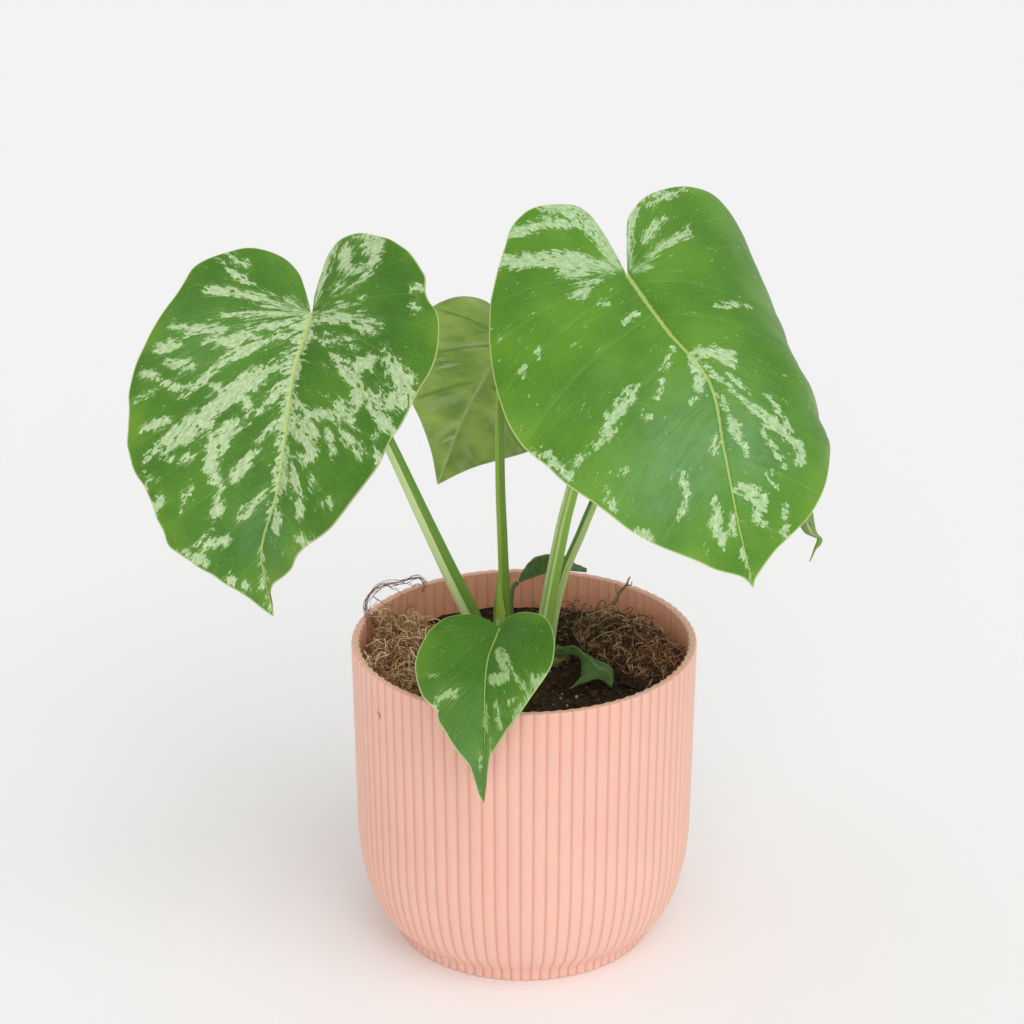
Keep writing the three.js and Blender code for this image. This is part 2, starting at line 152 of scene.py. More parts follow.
def piece(name, parts, node, materials):
    """One object from parts of (points, faces, material number, attributes), standing for a CAD node."""
    parts = [(np.reshape(points, (-1, 3)), np.asarray(faces), look, values) for points, faces, look, values in parts]
    points, faces = joined([part[:2] for part in parts])
    mesh = bpy.data.meshes.new(name)
    mesh.from_pydata((points * METRES).tolist(), [], faces.tolist())
    mesh.polygons.foreach_set("material_index", [look for _, f, look, _ in parts for _ in f])
    mesh.polygons.foreach_set("use_smooth", [True] * len(faces))
    for key in sorted({k for part in parts for k in part[3]}):
        size, kind, field = (3, "FLOAT_VECTOR", "vector") if key in VECTORS else (1, "FLOAT", "value")
        rows = [np.ravel(values.get(key, np.zeros(len(p) * size))) for p, _, _, values in parts]
        mesh.attributes.new(key, kind, "POINT").data.foreach_set(field, np.concatenate(rows).astype(float))
    for material in materials:
        mesh.materials.append(material)
    mesh.update()
    made = add(name, mesh)
    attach(made, "root")
    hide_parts(node)


# ---- materials

def rgb(*screen):
    """A colour given in screen values of 0 to 255."""
    return tuple(((c / 255 + 0.055) / 1.055) ** 2.4 if c > 10 else c / 3294 for c in screen) + (1.0,)


class Value:
    """What a node gives out. Sums, products and ramps of it are nodes too."""

    def __init__(self, look, socket):
        self.look = look
        self.socket = socket

    def math(self, operation, other=0.0):
        return self.look.node("ShaderNodeMath", {0: self, 1: other}, operation=operation)

    def __add__(self, other):
        return self.math("ADD", other)

    def __sub__(self, other):
        return self.math("SUBTRACT", other)

    def __mul__(self, other):
        return self.math("MULTIPLY", other)

    def __abs__(self):
        return self.math("ABSOLUTE")

    def ramp(self, lo, hi, to_lo=0.0, to_hi=1.0):
        inputs = {"Value": self, "From Min": lo, "From Max": hi, "To Min": to_lo, "To Max": to_hi}
        return self.look.node("ShaderNodeMapRange", inputs, interpolation_type="SMOOTHSTEP")


class Look:
    """A material made of nodes, each added by one call."""

    def __init__(self, name, roughness, specular):
        self.material = bpy.data.materials.new(name)
        self.material.use_nodes = True
        self.tree = self.material.node_tree
        self.shader = self.tree.nodes["Principled BSDF"]
        self.set("Roughness", roughness)
        self.set("Specular IOR Level", specular)

    def put(self, socket, value):
        """Links a node to a socket, or sets the socket."""
        if isinstance(value, Value):
            self.tree.links.new(value.socket, socket)
        else:
            socket.default_value = rgb(*value) if socket.type == "RGBA" else value

    def set(self, name, value):
        self.put(self.shader.inputs[name], value)

    def node(self, kind, inputs, output=0, **settings):
        """What a new node gives out."""
        made = self.tree.nodes.new(kind)
        for key, value in settings.items():
            setattr(made, key, value)
        for key, value in inputs.items():
            self.put(made.inputs[key], value)
        return Value(self, made.outputs[output])

    def value(self, name, output="Fac"):
        return self.node("ShaderNodeAttribute", {}, output, attribute_name=name)

    def vector(self, name):
        return self.value(name, "Vector")

    def place(self):
        return self.node("ShaderNodeTexCoord", {}, "Object")

    def stretch(self, vector, scale, offset=(0, 0, 0)):
        return self.node("ShaderNodeMapping", {"Vector": vector, "Scale": scale, "Location": offset})

    def noise(self, vector, scale, detail=3.0, rough=0.55):
        """Noise with a middle of 0, from about -0.5 to 0.5."""
        inputs = {"Vector": vector, "Scale": scale, "Detail": detail, "Roughness": rough}
        return self.node("ShaderNodeTexNoise", inputs, "Fac") - 0.5

    def streaks(self, vein, shrink, scale, detail=3.0, rough=0.55, offset=(0, 0, 0)):
        """Noise drawn out along the veins: the less shrink, the longer."""
        return self.noise(self.stretch(vein, (1, shrink, 1), offset), scale, detail, rough)

    def warped(self, vector, scale, amount):
        """The vector, pushed about by noise."""
        push = self.node("ShaderNodeTexNoise", {"Vector": vector, "Scale": scale, "Detail": 3.0}, "Color")
        push = self.node("ShaderNodeVectorMath", {0: push, 1: (0.5, 0.5, 0.5)}, operation="SUBTRACT")
        push = self.node("ShaderNodeVectorMath", {0: push, "Scale": amount}, operation="SCALE")
        return self.node("ShaderNodeVectorMath", {0: vector, 1: push}, operation="ADD")

    def cells(self, vector, shrink, scale, offset=(0, 0, 0)):
        """One random value of -0.5 to 0.5 for each cell, and each place's distance from its cell's middle."""
        inputs = {"Vector": self.stretch(vector, (1, shrink, 1), offset), "Scale": scale}
        colour = self.node("ShaderNodeTexVoronoi", inputs, "Color")
        return (self.node("ShaderNodeSeparateColor", {"Color": colour}) - 0.5,
                self.node("ShaderNodeTexVoronoi", inputs, "Distance"))

    def layers(self, colour, *coats):
        """The colour under coats, each given as (share, colour)."""
        for share, coat in coats:
            colour = self.node("ShaderNodeMix", {"Factor": share, 6: colour, 7: coat}, 2, data_type="RGBA")
        return colour

    def done(self, colour, height=None, strength=1.0, distance=1.0):
        """The material in this colour, with this height as its bumps."""
        self.set("Base Color", colour)
        if height:
            self.set("Normal", self.node("ShaderNodeBump", {"Height": height, "Strength": strength,
                                                            "Distance": distance}))
        return self.material


def leaf_top(name, deep, fresh, pale, cream, speckle, feather, tear):
    """Upper face: green with cream flecks that follow the veins."""
    look = Look(name, 0.42, 0.36)
    flat, vein, edge = look.vector("flat"), look.vector("vein"), look.value("edge")
    wide = look.noise(flat, 0.03, 2)
    mottle = look.streaks(vein, 0.3, 0.35, 4)
    grain = look.noise(flat, 0.85, 4, 0.7)
    # Painted reflection: soft circles tinted bluish where light glances off the blade, broken up by the mottle; they
    # are made glossier too
    sheen = look.value("sheen") * mottle.ramp(-0.2, 0.2, 0.35, 1)
    green = look.layers(deep, (wide.ramp(-0.2, 0.2), fresh), (mottle.ramp(-0.1, 0.3, 0, 0.3), fresh),
                        (grain.ramp(-0.02, 0.22, 0, 0.3), (118, 166, 62)),
                        (grain.ramp(-0.25, -0.02, 0.22, 0), (44, 92, 18)),
                        (edge.ramp(0, 14, 1, 0) * wide.ramp(-0.05, 0.2, 0.05, 0.4), (128, 166, 48)),
                        # painted reflection: the bluish tint in those circles
                        (sheen * 0.34, (104, 154, 104)))
    # Cream flecks: the field of the listed marks, torn into cells that follow the veins
    warped = look.warped(vein, 0.3, 4.0)
    coarse, _ = look.cells(warped, 0.45, 0.27)
    small, _ = look.cells(warped, 0.4, 0.8)
    size, gap = look.cells(warped, 0.5, 0.42, (3, 9, 0))
    torn = look.streaks(vein, 0.3, 0.5)
    crumbled = look.noise(flat, 0.33, 3, 0.6)
    thread = abs(look.streaks(vein, 0.16, 0.3, offset=(7, 3, 0))).ramp(0, 0.02, 0.42, 0)
    crack = abs(look.streaks(vein, 0.22, 0.62, offset=(2, 5, 0))).ramp(0, 0.02, 0.2 + 0.5 * tear, 0)
    field = (look.value("patch") + coarse * (1 - 0.5 * tear) + small * (0.42 + 0.7 * tear)
             + torn * (0.7 + 1.3 * tear) + crumbled * (0.8 + 1.2 * tear) + thread)
    hole = (gap + crumbled * 0.5 - size * 0.7).ramp(0, 0.07, 1.3, 0) + crack
    loss = 0.12 * (1 - tear)
    fleck = (field - hole).ramp(loss, loss + 0.05)
    # Feathers beside the midrib, and fine dots scattered in the green
    plume = look.value("near_rib") + torn * 2.6 + small * 0.5
    fleck = fleck.math("MAXIMUM", plume.ramp(feather, feather + 0.08, 0, 0.95))
    dust = look.streaks(vein, 0.7, 1.7, 2, 0.6) + look.noise(flat, 0.05, 2) * 0.3
    fleck = fleck.math("MAXIMUM", dust.ramp(speckle, speckle + 0.05) * 0.7)
    tone = look.streaks(vein, 0.6, 0.55, 5, 0.75)
    # Half tone, flecks, side veins, midrib and margin
    colour = look.layers(green, (field.ramp(-0.5, 0, 0, 0.2), (126, 165, 84)),
                         (fleck, look.layers(pale, (tone.ramp(-0.16, 0.16), cream))),
                         (look.value("side_vein").ramp(0.35, 1) * 0.13, (150, 184, 84)),
                         ((look.value("rib") + torn * 0.7).ramp(0.5, 0.95) * 0.75, (186, 206, 118)),
                         (edge.ramp(0.3, 0.7, 0.6, 0), (210, 220, 158)))
    look.set("Roughness", sheen.ramp(0, 1, 0.44, 0.32))
    return look.done(colour, look.streaks(vein, 0.25, 0.5) + look.noise(flat, 1.6, 2) * 0.35, 0.45, 0.0006)


def leaf_under(name, green, pale):
    """Lower face: dull, lighter, with pale streaks along the veins, partly variegation and partly painted reflection,
    and painted shade on the side veins.
    """
    look = Look(name, 0.6, 0.3)
    vein = look.vector("vein")
    mottle = look.streaks(vein, 0.25, 0.17, 4)
    zone = look.noise(look.vector("flat"), 0.045, 3)
    field = look.value("patch") + mottle * 2.3
    # pale streaks: the noise part is painted reflection, the patch field part is the cream variegation
    streak = (mottle + zone * 1.4).ramp(0.12, 0.3, 0, 0.55).math("MAXIMUM", field.ramp(-0.5, 0.6, 0, 0.4))
    colour = look.layers(green, (zone.ramp(-0.2, 0.2), (118, 154, 72)), (streak, pale),
                         # painted shade: the side veins darkened as if they lay in valleys, though the lower sheet
                         # raises them
                         (look.value("side_vein").ramp(0.2, 0.9) * 0.6, (104, 134, 58)),
                         (look.value("rib").ramp(0.2, 0.8), (170, 188, 118)),
                         (look.value("edge").ramp(0.3, 0.9, 0.6, 0), (190, 200, 135)))
    return look.done(colour, look.streaks(vein, 0.4, 0.6, 4), 0.3, 0.0006)


def stalk_look(name, green, pale, cut, softness, bands=0.0):
    """Stalk: green and cream lengthwise stripes. The attribute across runs from -1, left, to 1, right."""
    look = Look(name, 0.45, 0.4)
    stripe, across = look.vector("stripe"), look.value("across")
    stripes = look.noise(stripe, 1.0, 3)
    turned = across + stripes * softness + (across * 8.5).math("SINE") * bands
    colour = look.layers(pale, (turned.ramp(cut - 0.06, cut + 0.06), green),
                         (look.noise(stripe, 3.2, 3).ramp(-0.15, 0.25, 0, 0.35), (150, 178, 88)),
                         (look.value("low").ramp(0, 1, 0, 0.5), (176, 186, 104)))
    return look.done(colour, stripes, 0.25, 0.0005)


def rough_look(name, dark, middle, light, scale, strength, distance, roughness=0.95):
    """Soil, fibre and wood: three colours in noise."""
    look = Look(name, roughness, 0.15)
    place = look.place()
    first = look.noise(place, scale, 5, 0.65)
    colour = look.layers(dark, (first.ramp(-0.16, 0.16), middle),
                         (look.noise(place, scale * 3.7, 3).ramp(0.03, 0.2, 0, 0.8), light))
    return look.done(colour, first, strength, distance)


def strand_look(name, dark, middle, light, stain):
    """Fibres: each strand its own shade, from the attribute shade of 0 to 1."""
    look = Look(name, 0.8, 0.2)
    shade = look.value("shade")
    along = look.noise(look.place(), 900, 2)
    return look.done(look.layers(dark, (shade.ramp(0, 0.5), middle), (shade.ramp(0.5, 1), light),
                                 (along.ramp(-0.1, 0.25, 0, 0.4), stain)))


def dark_leaf_look():
    """The small dark leaves: one dull green on both faces."""
    look = Look("dark_leaf", 0.5, 0.4)
    tone = look.noise(look.stretch(look.vector("vein"), (26, 3, 1)), 1.0, 4)
    colour = look.layers((60, 88, 40), (tone.ramp(-0.2, 0.25), (86, 118, 56)),
                         (look.noise(look.place(), 90, 3).ramp(0, 0.25, 0, 0.4), (96, 124, 78)),
                         (look.value("rib") * 0.6, (126, 150, 92)),
                         (look.value("edge").ramp(0, 0.05, 0.3, 0), (128, 146, 96)))
    return look.done(colour, tone, 0.4, 0.0005)


SPECK = (-0.0656, -0.0451, 0.1296)      # a crumb of dirt on the wall, in metres


def pot_look():
    """Satin peach plastic with painted shade in the hollows between its ribs and a painted lighter inside wall; a
    little dirt low inside.
    """
    look = Look("pot_plastic", 0.5, 0.4)
    place, inside = look.place(), look.value("inside")
    cloud, grain = look.noise(place, 9, 3), look.noise(place, 260, 4)
    groove = look.value("groove").ramp(0.1, 1, 0, 0.42)
    dirt = look.noise(place, 120, 5, 0.7).ramp(0.12, 0.2) * look.value("dirt")
    speck = look.node("ShaderNodeVectorMath", {0: place, 1: SPECK}, "Value", operation="DISTANCE")
    speck = (speck + look.noise(place, 700, 2) * 0.0024).ramp(0.0013, 0.002, 0.8, 0)
    colour = look.layers((241, 188, 170), (cloud.ramp(-0.2, 0.2), (245, 196, 180)),
                         # painted shade: the hollows between the ribs darkened to a rose-brown band
                         (grain.ramp(0.05, 0.3, 0, 0.12), (232, 176, 156)), (groove, (214, 140, 120)),
                         # painted light: the inside wall lighter and warmer than the outside, for light coming through
                         # the thin plastic
                         (inside * 0.95, (254, 196, 168)), (dirt, (120, 82, 62)), (speck, (170, 96, 70)),
                         # painted shade: the hollows between the ribs inside the pot darker still
                         (inside * groove * 0.75, (200, 122, 94)))
    look.set("Roughness", cloud.ramp(-0.3, 0.3, 0.46, 0.56))
    look.set("Subsurface Weight", 0.35)
    look.set("Subsurface Radius", (1.0, 0.42, 0.26))
    look.set("Subsurface Scale", 0.006)
    return look.done(colour, grain, 0.08, 0.0003)


# ---- pot

POT_HEIGHT = 147
RIM_RADIUS = 80
SHOULDER = (78.7, 59)           # radius and height where the straight wall begins to draw in
WAIST = (60.2, 7)               # radius and height that its curve runs down to
FOOT_RADIUS = 61.0
FOOT_TOP, BLEND_TOP = 3, 15     # the foot is straight below the first and flows into the curve up to the second
WALL = 3.4
FLOOR = 4
RIB_COUNT = 85
RIB_TURN = math.radians(-90 - 1.35)
RIB_DEPTH = 1.35
RIB_PLACES = [0, 0.03, 0.07, 0.13, 0.22, 0.35, 0.5, 0.65, 0.78, 0.87, 0.93, 0.97]
OUTER_HEIGHTS = [0, 0.5, 1.2, 2.6, 3.8, 5, 6.2, 7.4, 8.6, 10, 11.5, 13.2, 15, 17.5, 20.5, 24, 28.5, 33.5, 39, 45, 51,
                 57, 63, 70, 80, 95, 112, 130, 141, 145]
INNER_HEIGHTS = [145, 142, 138, 134, 130, 126, 120, 100, 80, 62, 45, 28, 15, 8, 5]
EDGE_ROUND = 0.7
BASE = (40, 0.8)                # the underside is sunk by the height inside the radius
FOOT_ROUND = 3.5
# Width of the painted shade in the hollows between the ribs, a darker band in the plastic's colour
PAINTED_GROOVE_SHADE_WIDTH = 0.12             # as a share of a rib
SOIL_LEVEL = 129
DIRT_TOP, DIRT_SHARE = 134, 0.35
WALL_GAP = 1.5                  # between the soil and the wall


def wall_radius(z):
    """Outer radius of the pot at height z, over the ribs."""
    shoulder, shoulder_z = SHOULDER
    waist, waist_z = WAIST
    if z < FOOT_TOP:
        return FOOT_RADIUS
    if z > shoulder_z:
        return shoulder + (RIM_RADIUS - shoulder) * (z - shoulder_z) / (POT_HEIGHT - shoulder_z)
    fall = (shoulder_z - max(z, BLEND_TOP)) / (shoulder_z - waist_z)
    root = math.sqrt(1 - fall**2)
    curve = waist + (shoulder - waist) * root
    if z >= BLEND_TOP:
        return curve
    slope = (shoulder - waist) * fall / root / (shoulder_z - waist_z)
    rise = BLEND_TOP - FOOT_TOP
    t = (z - FOOT_TOP) / rise
    return FOOT_RADIUS + (curve - FOOT_RADIUS) * t * t * (3 - 2 * t) - slope * rise * t * t * (1 - t)


def make_pot():
    """The pot as one turned profile, its radius dipping between the ribs."""
    share = np.array(RIB_PLACES)
    angle = (np.arange(RIB_COUNT)[:, None] + share).ravel() * FULL_TURN / RIB_COUNT + RIB_TURN
    away = np.tile(np.minimum(share, 1 - share), RIB_COUNT)
    dip = RIB_DEPTH * (1 - np.sin(math.pi * np.minimum(0.06 + away * 0.88, 0.5)) ** 0.62)
    # Profile rows: radius, height, share of the ribs' depth, whether inside
    arc = np.linspace(0, math.pi / 2, 5)
    far, near = EDGE_ROUND * (1 - np.cos(arc)), EDGE_ROUND * (1 - np.sin(arc))
    profile = [(0, BASE[1], 0, 0), (*BASE, 0, 0), (FOOT_RADIUS - FOOT_ROUND, 0, 0.4, 0)]
    profile += [(wall_radius(z) - (0.5 if z == 0 else 0), z, 1, 0) for z in OUTER_HEIGHTS]
    profile += [(RIM_RADIUS - a, POT_HEIGHT - b, 1, 0) for a, b in zip(far, near)]
    profile += [(RIM_RADIUS - WALL + b, POT_HEIGHT - a, 1, 0) for a, b in zip(far, near)]
    profile += [(wall_radius(z) - WALL, z, 1, 1) for z in INNER_HEIGHTS]
    profile += [(BASE[0], FLOOR, 0, 1), (0, FLOOR, 0, 1)]
    radius, z, ribs, inside = np.array(profile, float).T[..., None]
    r = radius - dip * ribs
    # the painted shade in the hollows between the ribs is a bell across each hollow
    values = {"groove": bell(away, PAINTED_GROOVE_SHADE_WIDTH) * ribs, "inside": inside + 0 * r,
              "dirt": DIRT_SHARE * inside * (z < DIRT_TOP) + 0 * r}
    points = np.stack([r * np.cos(angle), r * np.sin(angle), z + 0 * r], -1)
    piece("pot_shell", [(points, grid_faces(len(profile), len(angle), wrap=True), 0, values)], "pot",
          [pot_look()])


# ---- soil, coir, moss

CAVITY = {"x": 20, "y": -10, "depth": 7, "spread": 11}
MOSS = {"x": 50, "y": 14, "long": 43, "short": 19.5, "turn": 118, "height": 20}
LITTER = {"x": 27, "y": 48, "long": 25, "short": 14, "turn": 152, "height": 10}
COIR = {"x": -53, "y": -3, "long": 39, "short": 20, "turn": 94, "height": 22}
LOOSE_TOP = 5.5         # how much of a heap's height is loose fibre on its body
STANDING_SHARE = 0.17   # of the fibres stand up out of a heap


def soil_height(x, y):
    """Height of the lumpy soil, with its hollow."""
    p = np.stack([x, y, np.zeros_like(x)], -1)
    hollow = CAVITY["depth"] * bell(np.hypot(x - CAVITY["x"], y - CAVITY["y"]), CAVITY["spread"])
    return SOIL_LEVEL - 0.6 + 1.6 * lumps(p, 11) + 0.9 * lumps(p + 50, 3.2, 2) - hollow


def blob(centre, radii, turn, seed):
    """A small uneven grain as (points, faces)."""
    rows, columns = 6, 8
    v, u = np.meshgrid(np.linspace(0, math.pi, rows), circle(columns), indexing="ij")
    ball = np.stack([np.sin(v) * np.cos(u), np.sin(v) * np.sin(u), np.cos(v)], -1)
    ball *= (1 + 0.25 * ripples(ball + seed, 1.7, seed))[..., None]
    c, s = math.cos(turn), math.sin(turn)
    spun = ball * radii @ np.array([[c, s, 0], [-s, c, 0], [0, 0, 1]])
    return (spun + centre).reshape(-1, 3), grid_faces(rows, columns, wrap=True)


def scatter(count, reach, low, high, flat, lift, height, seed):
    """Grains strewn over the soil, as one (points, faces)."""
    own = np.random.default_rng(seed)
    grains = []
    for k in range(count):
        r, a = reach * math.sqrt(own.uniform()), own.uniform(0, FULL_TURN)
        x, y = r * math.cos(a), r * math.sin(a)
        size = own.uniform(low, high)
        z = float(height(np.array([x]), np.array([y]))[0])
        radii = np.array([size, size * own.uniform(0.45, 0.9), size * own.uniform(*flat)])
        grains.append(blob(np.array([x, y, z + lift * size]), radii, own.uniform(0, 6.3), seed + k))
    return joined(grains)


def heap_place(heap, out, turn):
    """The place that is out, 1 at the heap's edge, along its turned ellipse."""
    along, across = out * np.cos(turn) * heap["long"], out * np.sin(turn) * heap["short"]
    c, s = math.cos(math.radians(heap["turn"])), math.sin(math.radians(heap["turn"]))
    return heap["x"] + along * c - across * s, heap["y"] + along * s + across * c


def mound_height(heap, x, y):
    """Height of a heap's lumpy top, and how far out each place is, 1 at the heap's edge."""
    c, s = math.cos(math.radians(heap["turn"])), math.sin(math.radians(heap["turn"]))
    dx, dy = x - heap["x"], y - heap["y"]
    out = np.hypot((dx * c + dy * s) / heap["long"], (dy * c - dx * s) / heap["short"])
    dome = np.maximum(0, 1 - out**2.2) ** 0.62
    p = np.stack([x, y, np.full_like(x, 7.0 * heap["long"])], -1)
    rough = (2.9 * lumps(p, 9) + 1.1 * lumps(p, 3.4, 2)) * (1 - np.minimum(out, 1) ** 6)
    return SOIL_LEVEL + (heap["height"] - LOOSE_TOP) * dome + rough, out


def mound_base(heap, look):
    """The lumpy body of a heap."""
    rows, columns = 60, 150
    out, turn = np.meshgrid(np.linspace(0, 1, rows) ** 0.8, circle(columns), indexing="ij")
    x, y = heap_place(heap, out * 0.97, turn)
    z, _ = mound_height(heap, x, y)
    return np.stack([x, y, z - 0.9 - 1.5 * out**8], -1), grid_faces(rows, columns, wrap=True), look, {}


def strands(heap, count, length, radius, loft, curl, seed, steps=9, spill=0.98, look=1):
    """Tangled fibres: each wanders in all directions, held near the heap's top."""
    own = np.random.default_rng(seed)
    out = spill * np.sqrt(own.uniform(0, 1, count))
    x, y = heap_place(heap, out, own.uniform(0, FULL_TURN, count))
    reach = (own.uniform(*length, count) / steps)[:, None]
    level = own.uniform(-0.6, loft, count)
    level += np.where(own.uniform(size=count) < STANDING_SHARE, own.uniform(0.5, 4, count), 0)
    place = np.stack([x, y, mound_height(heap, x, y)[0] + level], -1)
    heading = unit(own.normal(size=(count, 3)) * [1, 1, 0.4])
    spin = own.normal(size=(count, 3))
    sides = 4
    wall = RIM_RADIUS - WALL - WALL_GAP - 0.1
    top = SOIL_LEVEL + heap["height"] + 3.5
    path = np.zeros((count, steps + 1, 3))
    for k in range(steps + 1):
        path[:, k] = place
        spin = 0.75 * spin + own.normal(0, 0.66, (count, 3))
        heading = unit(heading + curl * spin)
        z, edge = mound_height(heap, place[:, 0], place[:, 1])
        heading[:, 2] += 0.5 * np.clip((z + level - place[:, 2]) / 2.0, -1, 1)
        homeward = np.stack([heap["x"] - place[:, 0], heap["y"] - place[:, 1]], -1)
        heading[:, :2] += unit(homeward) * smooth(0.85, 1.05, edge)[:, None]
        heading = unit(heading)
        place = place + reach * heading
        hold = np.minimum(1, wall / np.hypot(place[:, 0], place[:, 1]))
        place[:, :2] *= np.where(place[:, 2] > POT_HEIGHT + 0.8, 1, hold)[:, None]
        place[:, 2] = np.clip(place[:, 2], SOIL_LEVEL - 2, top)
    taper = np.sin(np.linspace(0.25, math.pi - 0.12, steps + 1)) ** 0.5
    thick = own.uniform(*radius, count)[:, None] * taper
    points, faces = tubes(path, thick, sides, unit(own.normal(size=(count, 3))))
    return points, faces, look, {"shade": np.repeat(own.uniform(0, 1, count), (steps + 1) * sides)}


def strewn(heap, count, low, high, flat, lift, seed, look):
    """Grains and crumbs strewn over a heap."""
    def height(x, y):
        return mound_height(heap, x + heap["x"], y + heap["y"])[0]

    grains, faces = scatter(count, heap["short"] * 0.9, low, high, flat, lift, height, seed)
    return grains + [heap["x"], heap["y"], 0], faces, look, {}


def make_soil():
    """The soil with crumbs, bark and grit, and a heap of litter."""
    rows, columns = 76, 210
    out, turn = np.meshgrid(np.linspace(0, 1, rows) ** 0.75, circle(columns), indexing="ij")
    reach = RIM_RADIUS - WALL - WALL_GAP
    x, y = reach * out * np.cos(turn), reach * out * np.sin(turn)
    parts = [(np.stack([x, y, soil_height(x, y)], -1), grid_faces(rows, columns, wrap=True), 0, {})]
    for count, low, high, flat, lift, look, seed in (
            (560, 0.7, 2.0, (0.6, 0.95), 0.3, 1, 21), (110, 1.6, 3.4, (0.4, 0.7), 0.25, 2, 22),
            (110, 0.3, 0.8, (0.6, 1), 0.7, 3, 23)):
        parts.append((*scatter(count, reach - 2, low, high, flat, lift, soil_height, seed), look, {}))
    parts += [strands(LITTER, 380, (4, 12), (0.12, 0.28), 1.2, 0.5, 24, 8, look=4), mound_base(LITTER, 1),
              strewn(LITTER, 90, 0.6, 2.0, (0.5, 0.9), 0.35, 25, 2), strewn(LITTER, 50, 0.3, 0.8, (0.6, 1), 0.9, 26, 3)]
    piece("soil_bed", parts, "soil", [
        rough_look("peat", (40, 30, 25), (66, 50, 39), (98, 78, 60), 330, 0.9, 0.0016),
        rough_look("crumb", (52, 39, 31), (84, 63, 47), (120, 98, 74), 420, 0.8, 0.001),
        rough_look("bark", (52, 38, 31), (82, 62, 48), (126, 104, 84), 240, 0.9, 0.0012),
        rough_look("grit", (150, 140, 118), (186, 176, 150), (205, 198, 176), 300, 0.6, 0.0008),
        strand_look("soil_litter", (70, 52, 40), (116, 92, 70), (178, 154, 122), (98, 84, 60))])


def make_coir():
    front = {**COIR, "x": -69, "y": -24, "long": 9, "short": 6}
    back = {**COIR, "x": -65, "y": 25, "long": 10, "short": 6, "turn": 60}
    piece("coir_fibres", [mound_base(COIR, 0), strands(COIR, 1390, (8, 22), (0.12, 0.26), 2.4, 0.36, 31),
                          strands(COIR, 120, (22, 44), (0.18, 0.32), 3.4, 0.24, 32, 16),
                          strands(front, 90, (7, 18), (0.12, 0.25), 2.5, 0.3, 33, spill=1.1),
                          strands(back, 80, (7, 18), (0.12, 0.25), 2, 0.3, 34)],
          "coir_clump", [
              rough_look("coir_core", (66, 42, 30), (120, 80, 56), (156, 114, 84), 420, 0.9, 0.0012),
              strand_look("coir_fibre", (96, 62, 44), (192, 142, 98), (255, 232, 196), (166, 112, 76))])


def make_moss():
    reddish = {**MOSS, "x": 62, "y": -6, "long": 18, "short": 7}
    piece("moss_strands", [mound_base(MOSS, 0), strands(MOSS, 1500, (3.5, 10), (0.11, 0.25), 1.9, 0.55, 41, 8),
                           strands(MOSS, 150, (10, 24), (0.16, 0.3), 2.6, 0.35, 42, 12),
                           strands(reddish, 48, (12, 28), (0.12, 0.24), 1.8, 0.24, 43, 12, look=4),
                           strewn(MOSS, 420, 0.7, 2.2, (0.5, 0.9), 0.5, 51, 2),
                           strewn(MOSS, 60, 0.35, 0.8, (0.6, 1), 1.0, 52, 3)],
          "moss_mound", [
              rough_look("moss_core", (40, 29, 23), (82, 63, 48), (122, 100, 76), 480, 0.9, 0.0014),
              strand_look("moss_strand", (50, 35, 28), (132, 96, 72), (224, 190, 150), (112, 90, 62)),
              rough_look("moss_lump", (54, 40, 31), (88, 68, 50), (120, 100, 74), 420, 0.8, 0.001),
              rough_look("moss_grain", (150, 140, 104), (186, 176, 140), (206, 200, 168), 300, 0.5, 0.0006),
              strand_look("moss_root", (112, 66, 48), (150, 88, 62), (186, 118, 86), (104, 66, 50))])
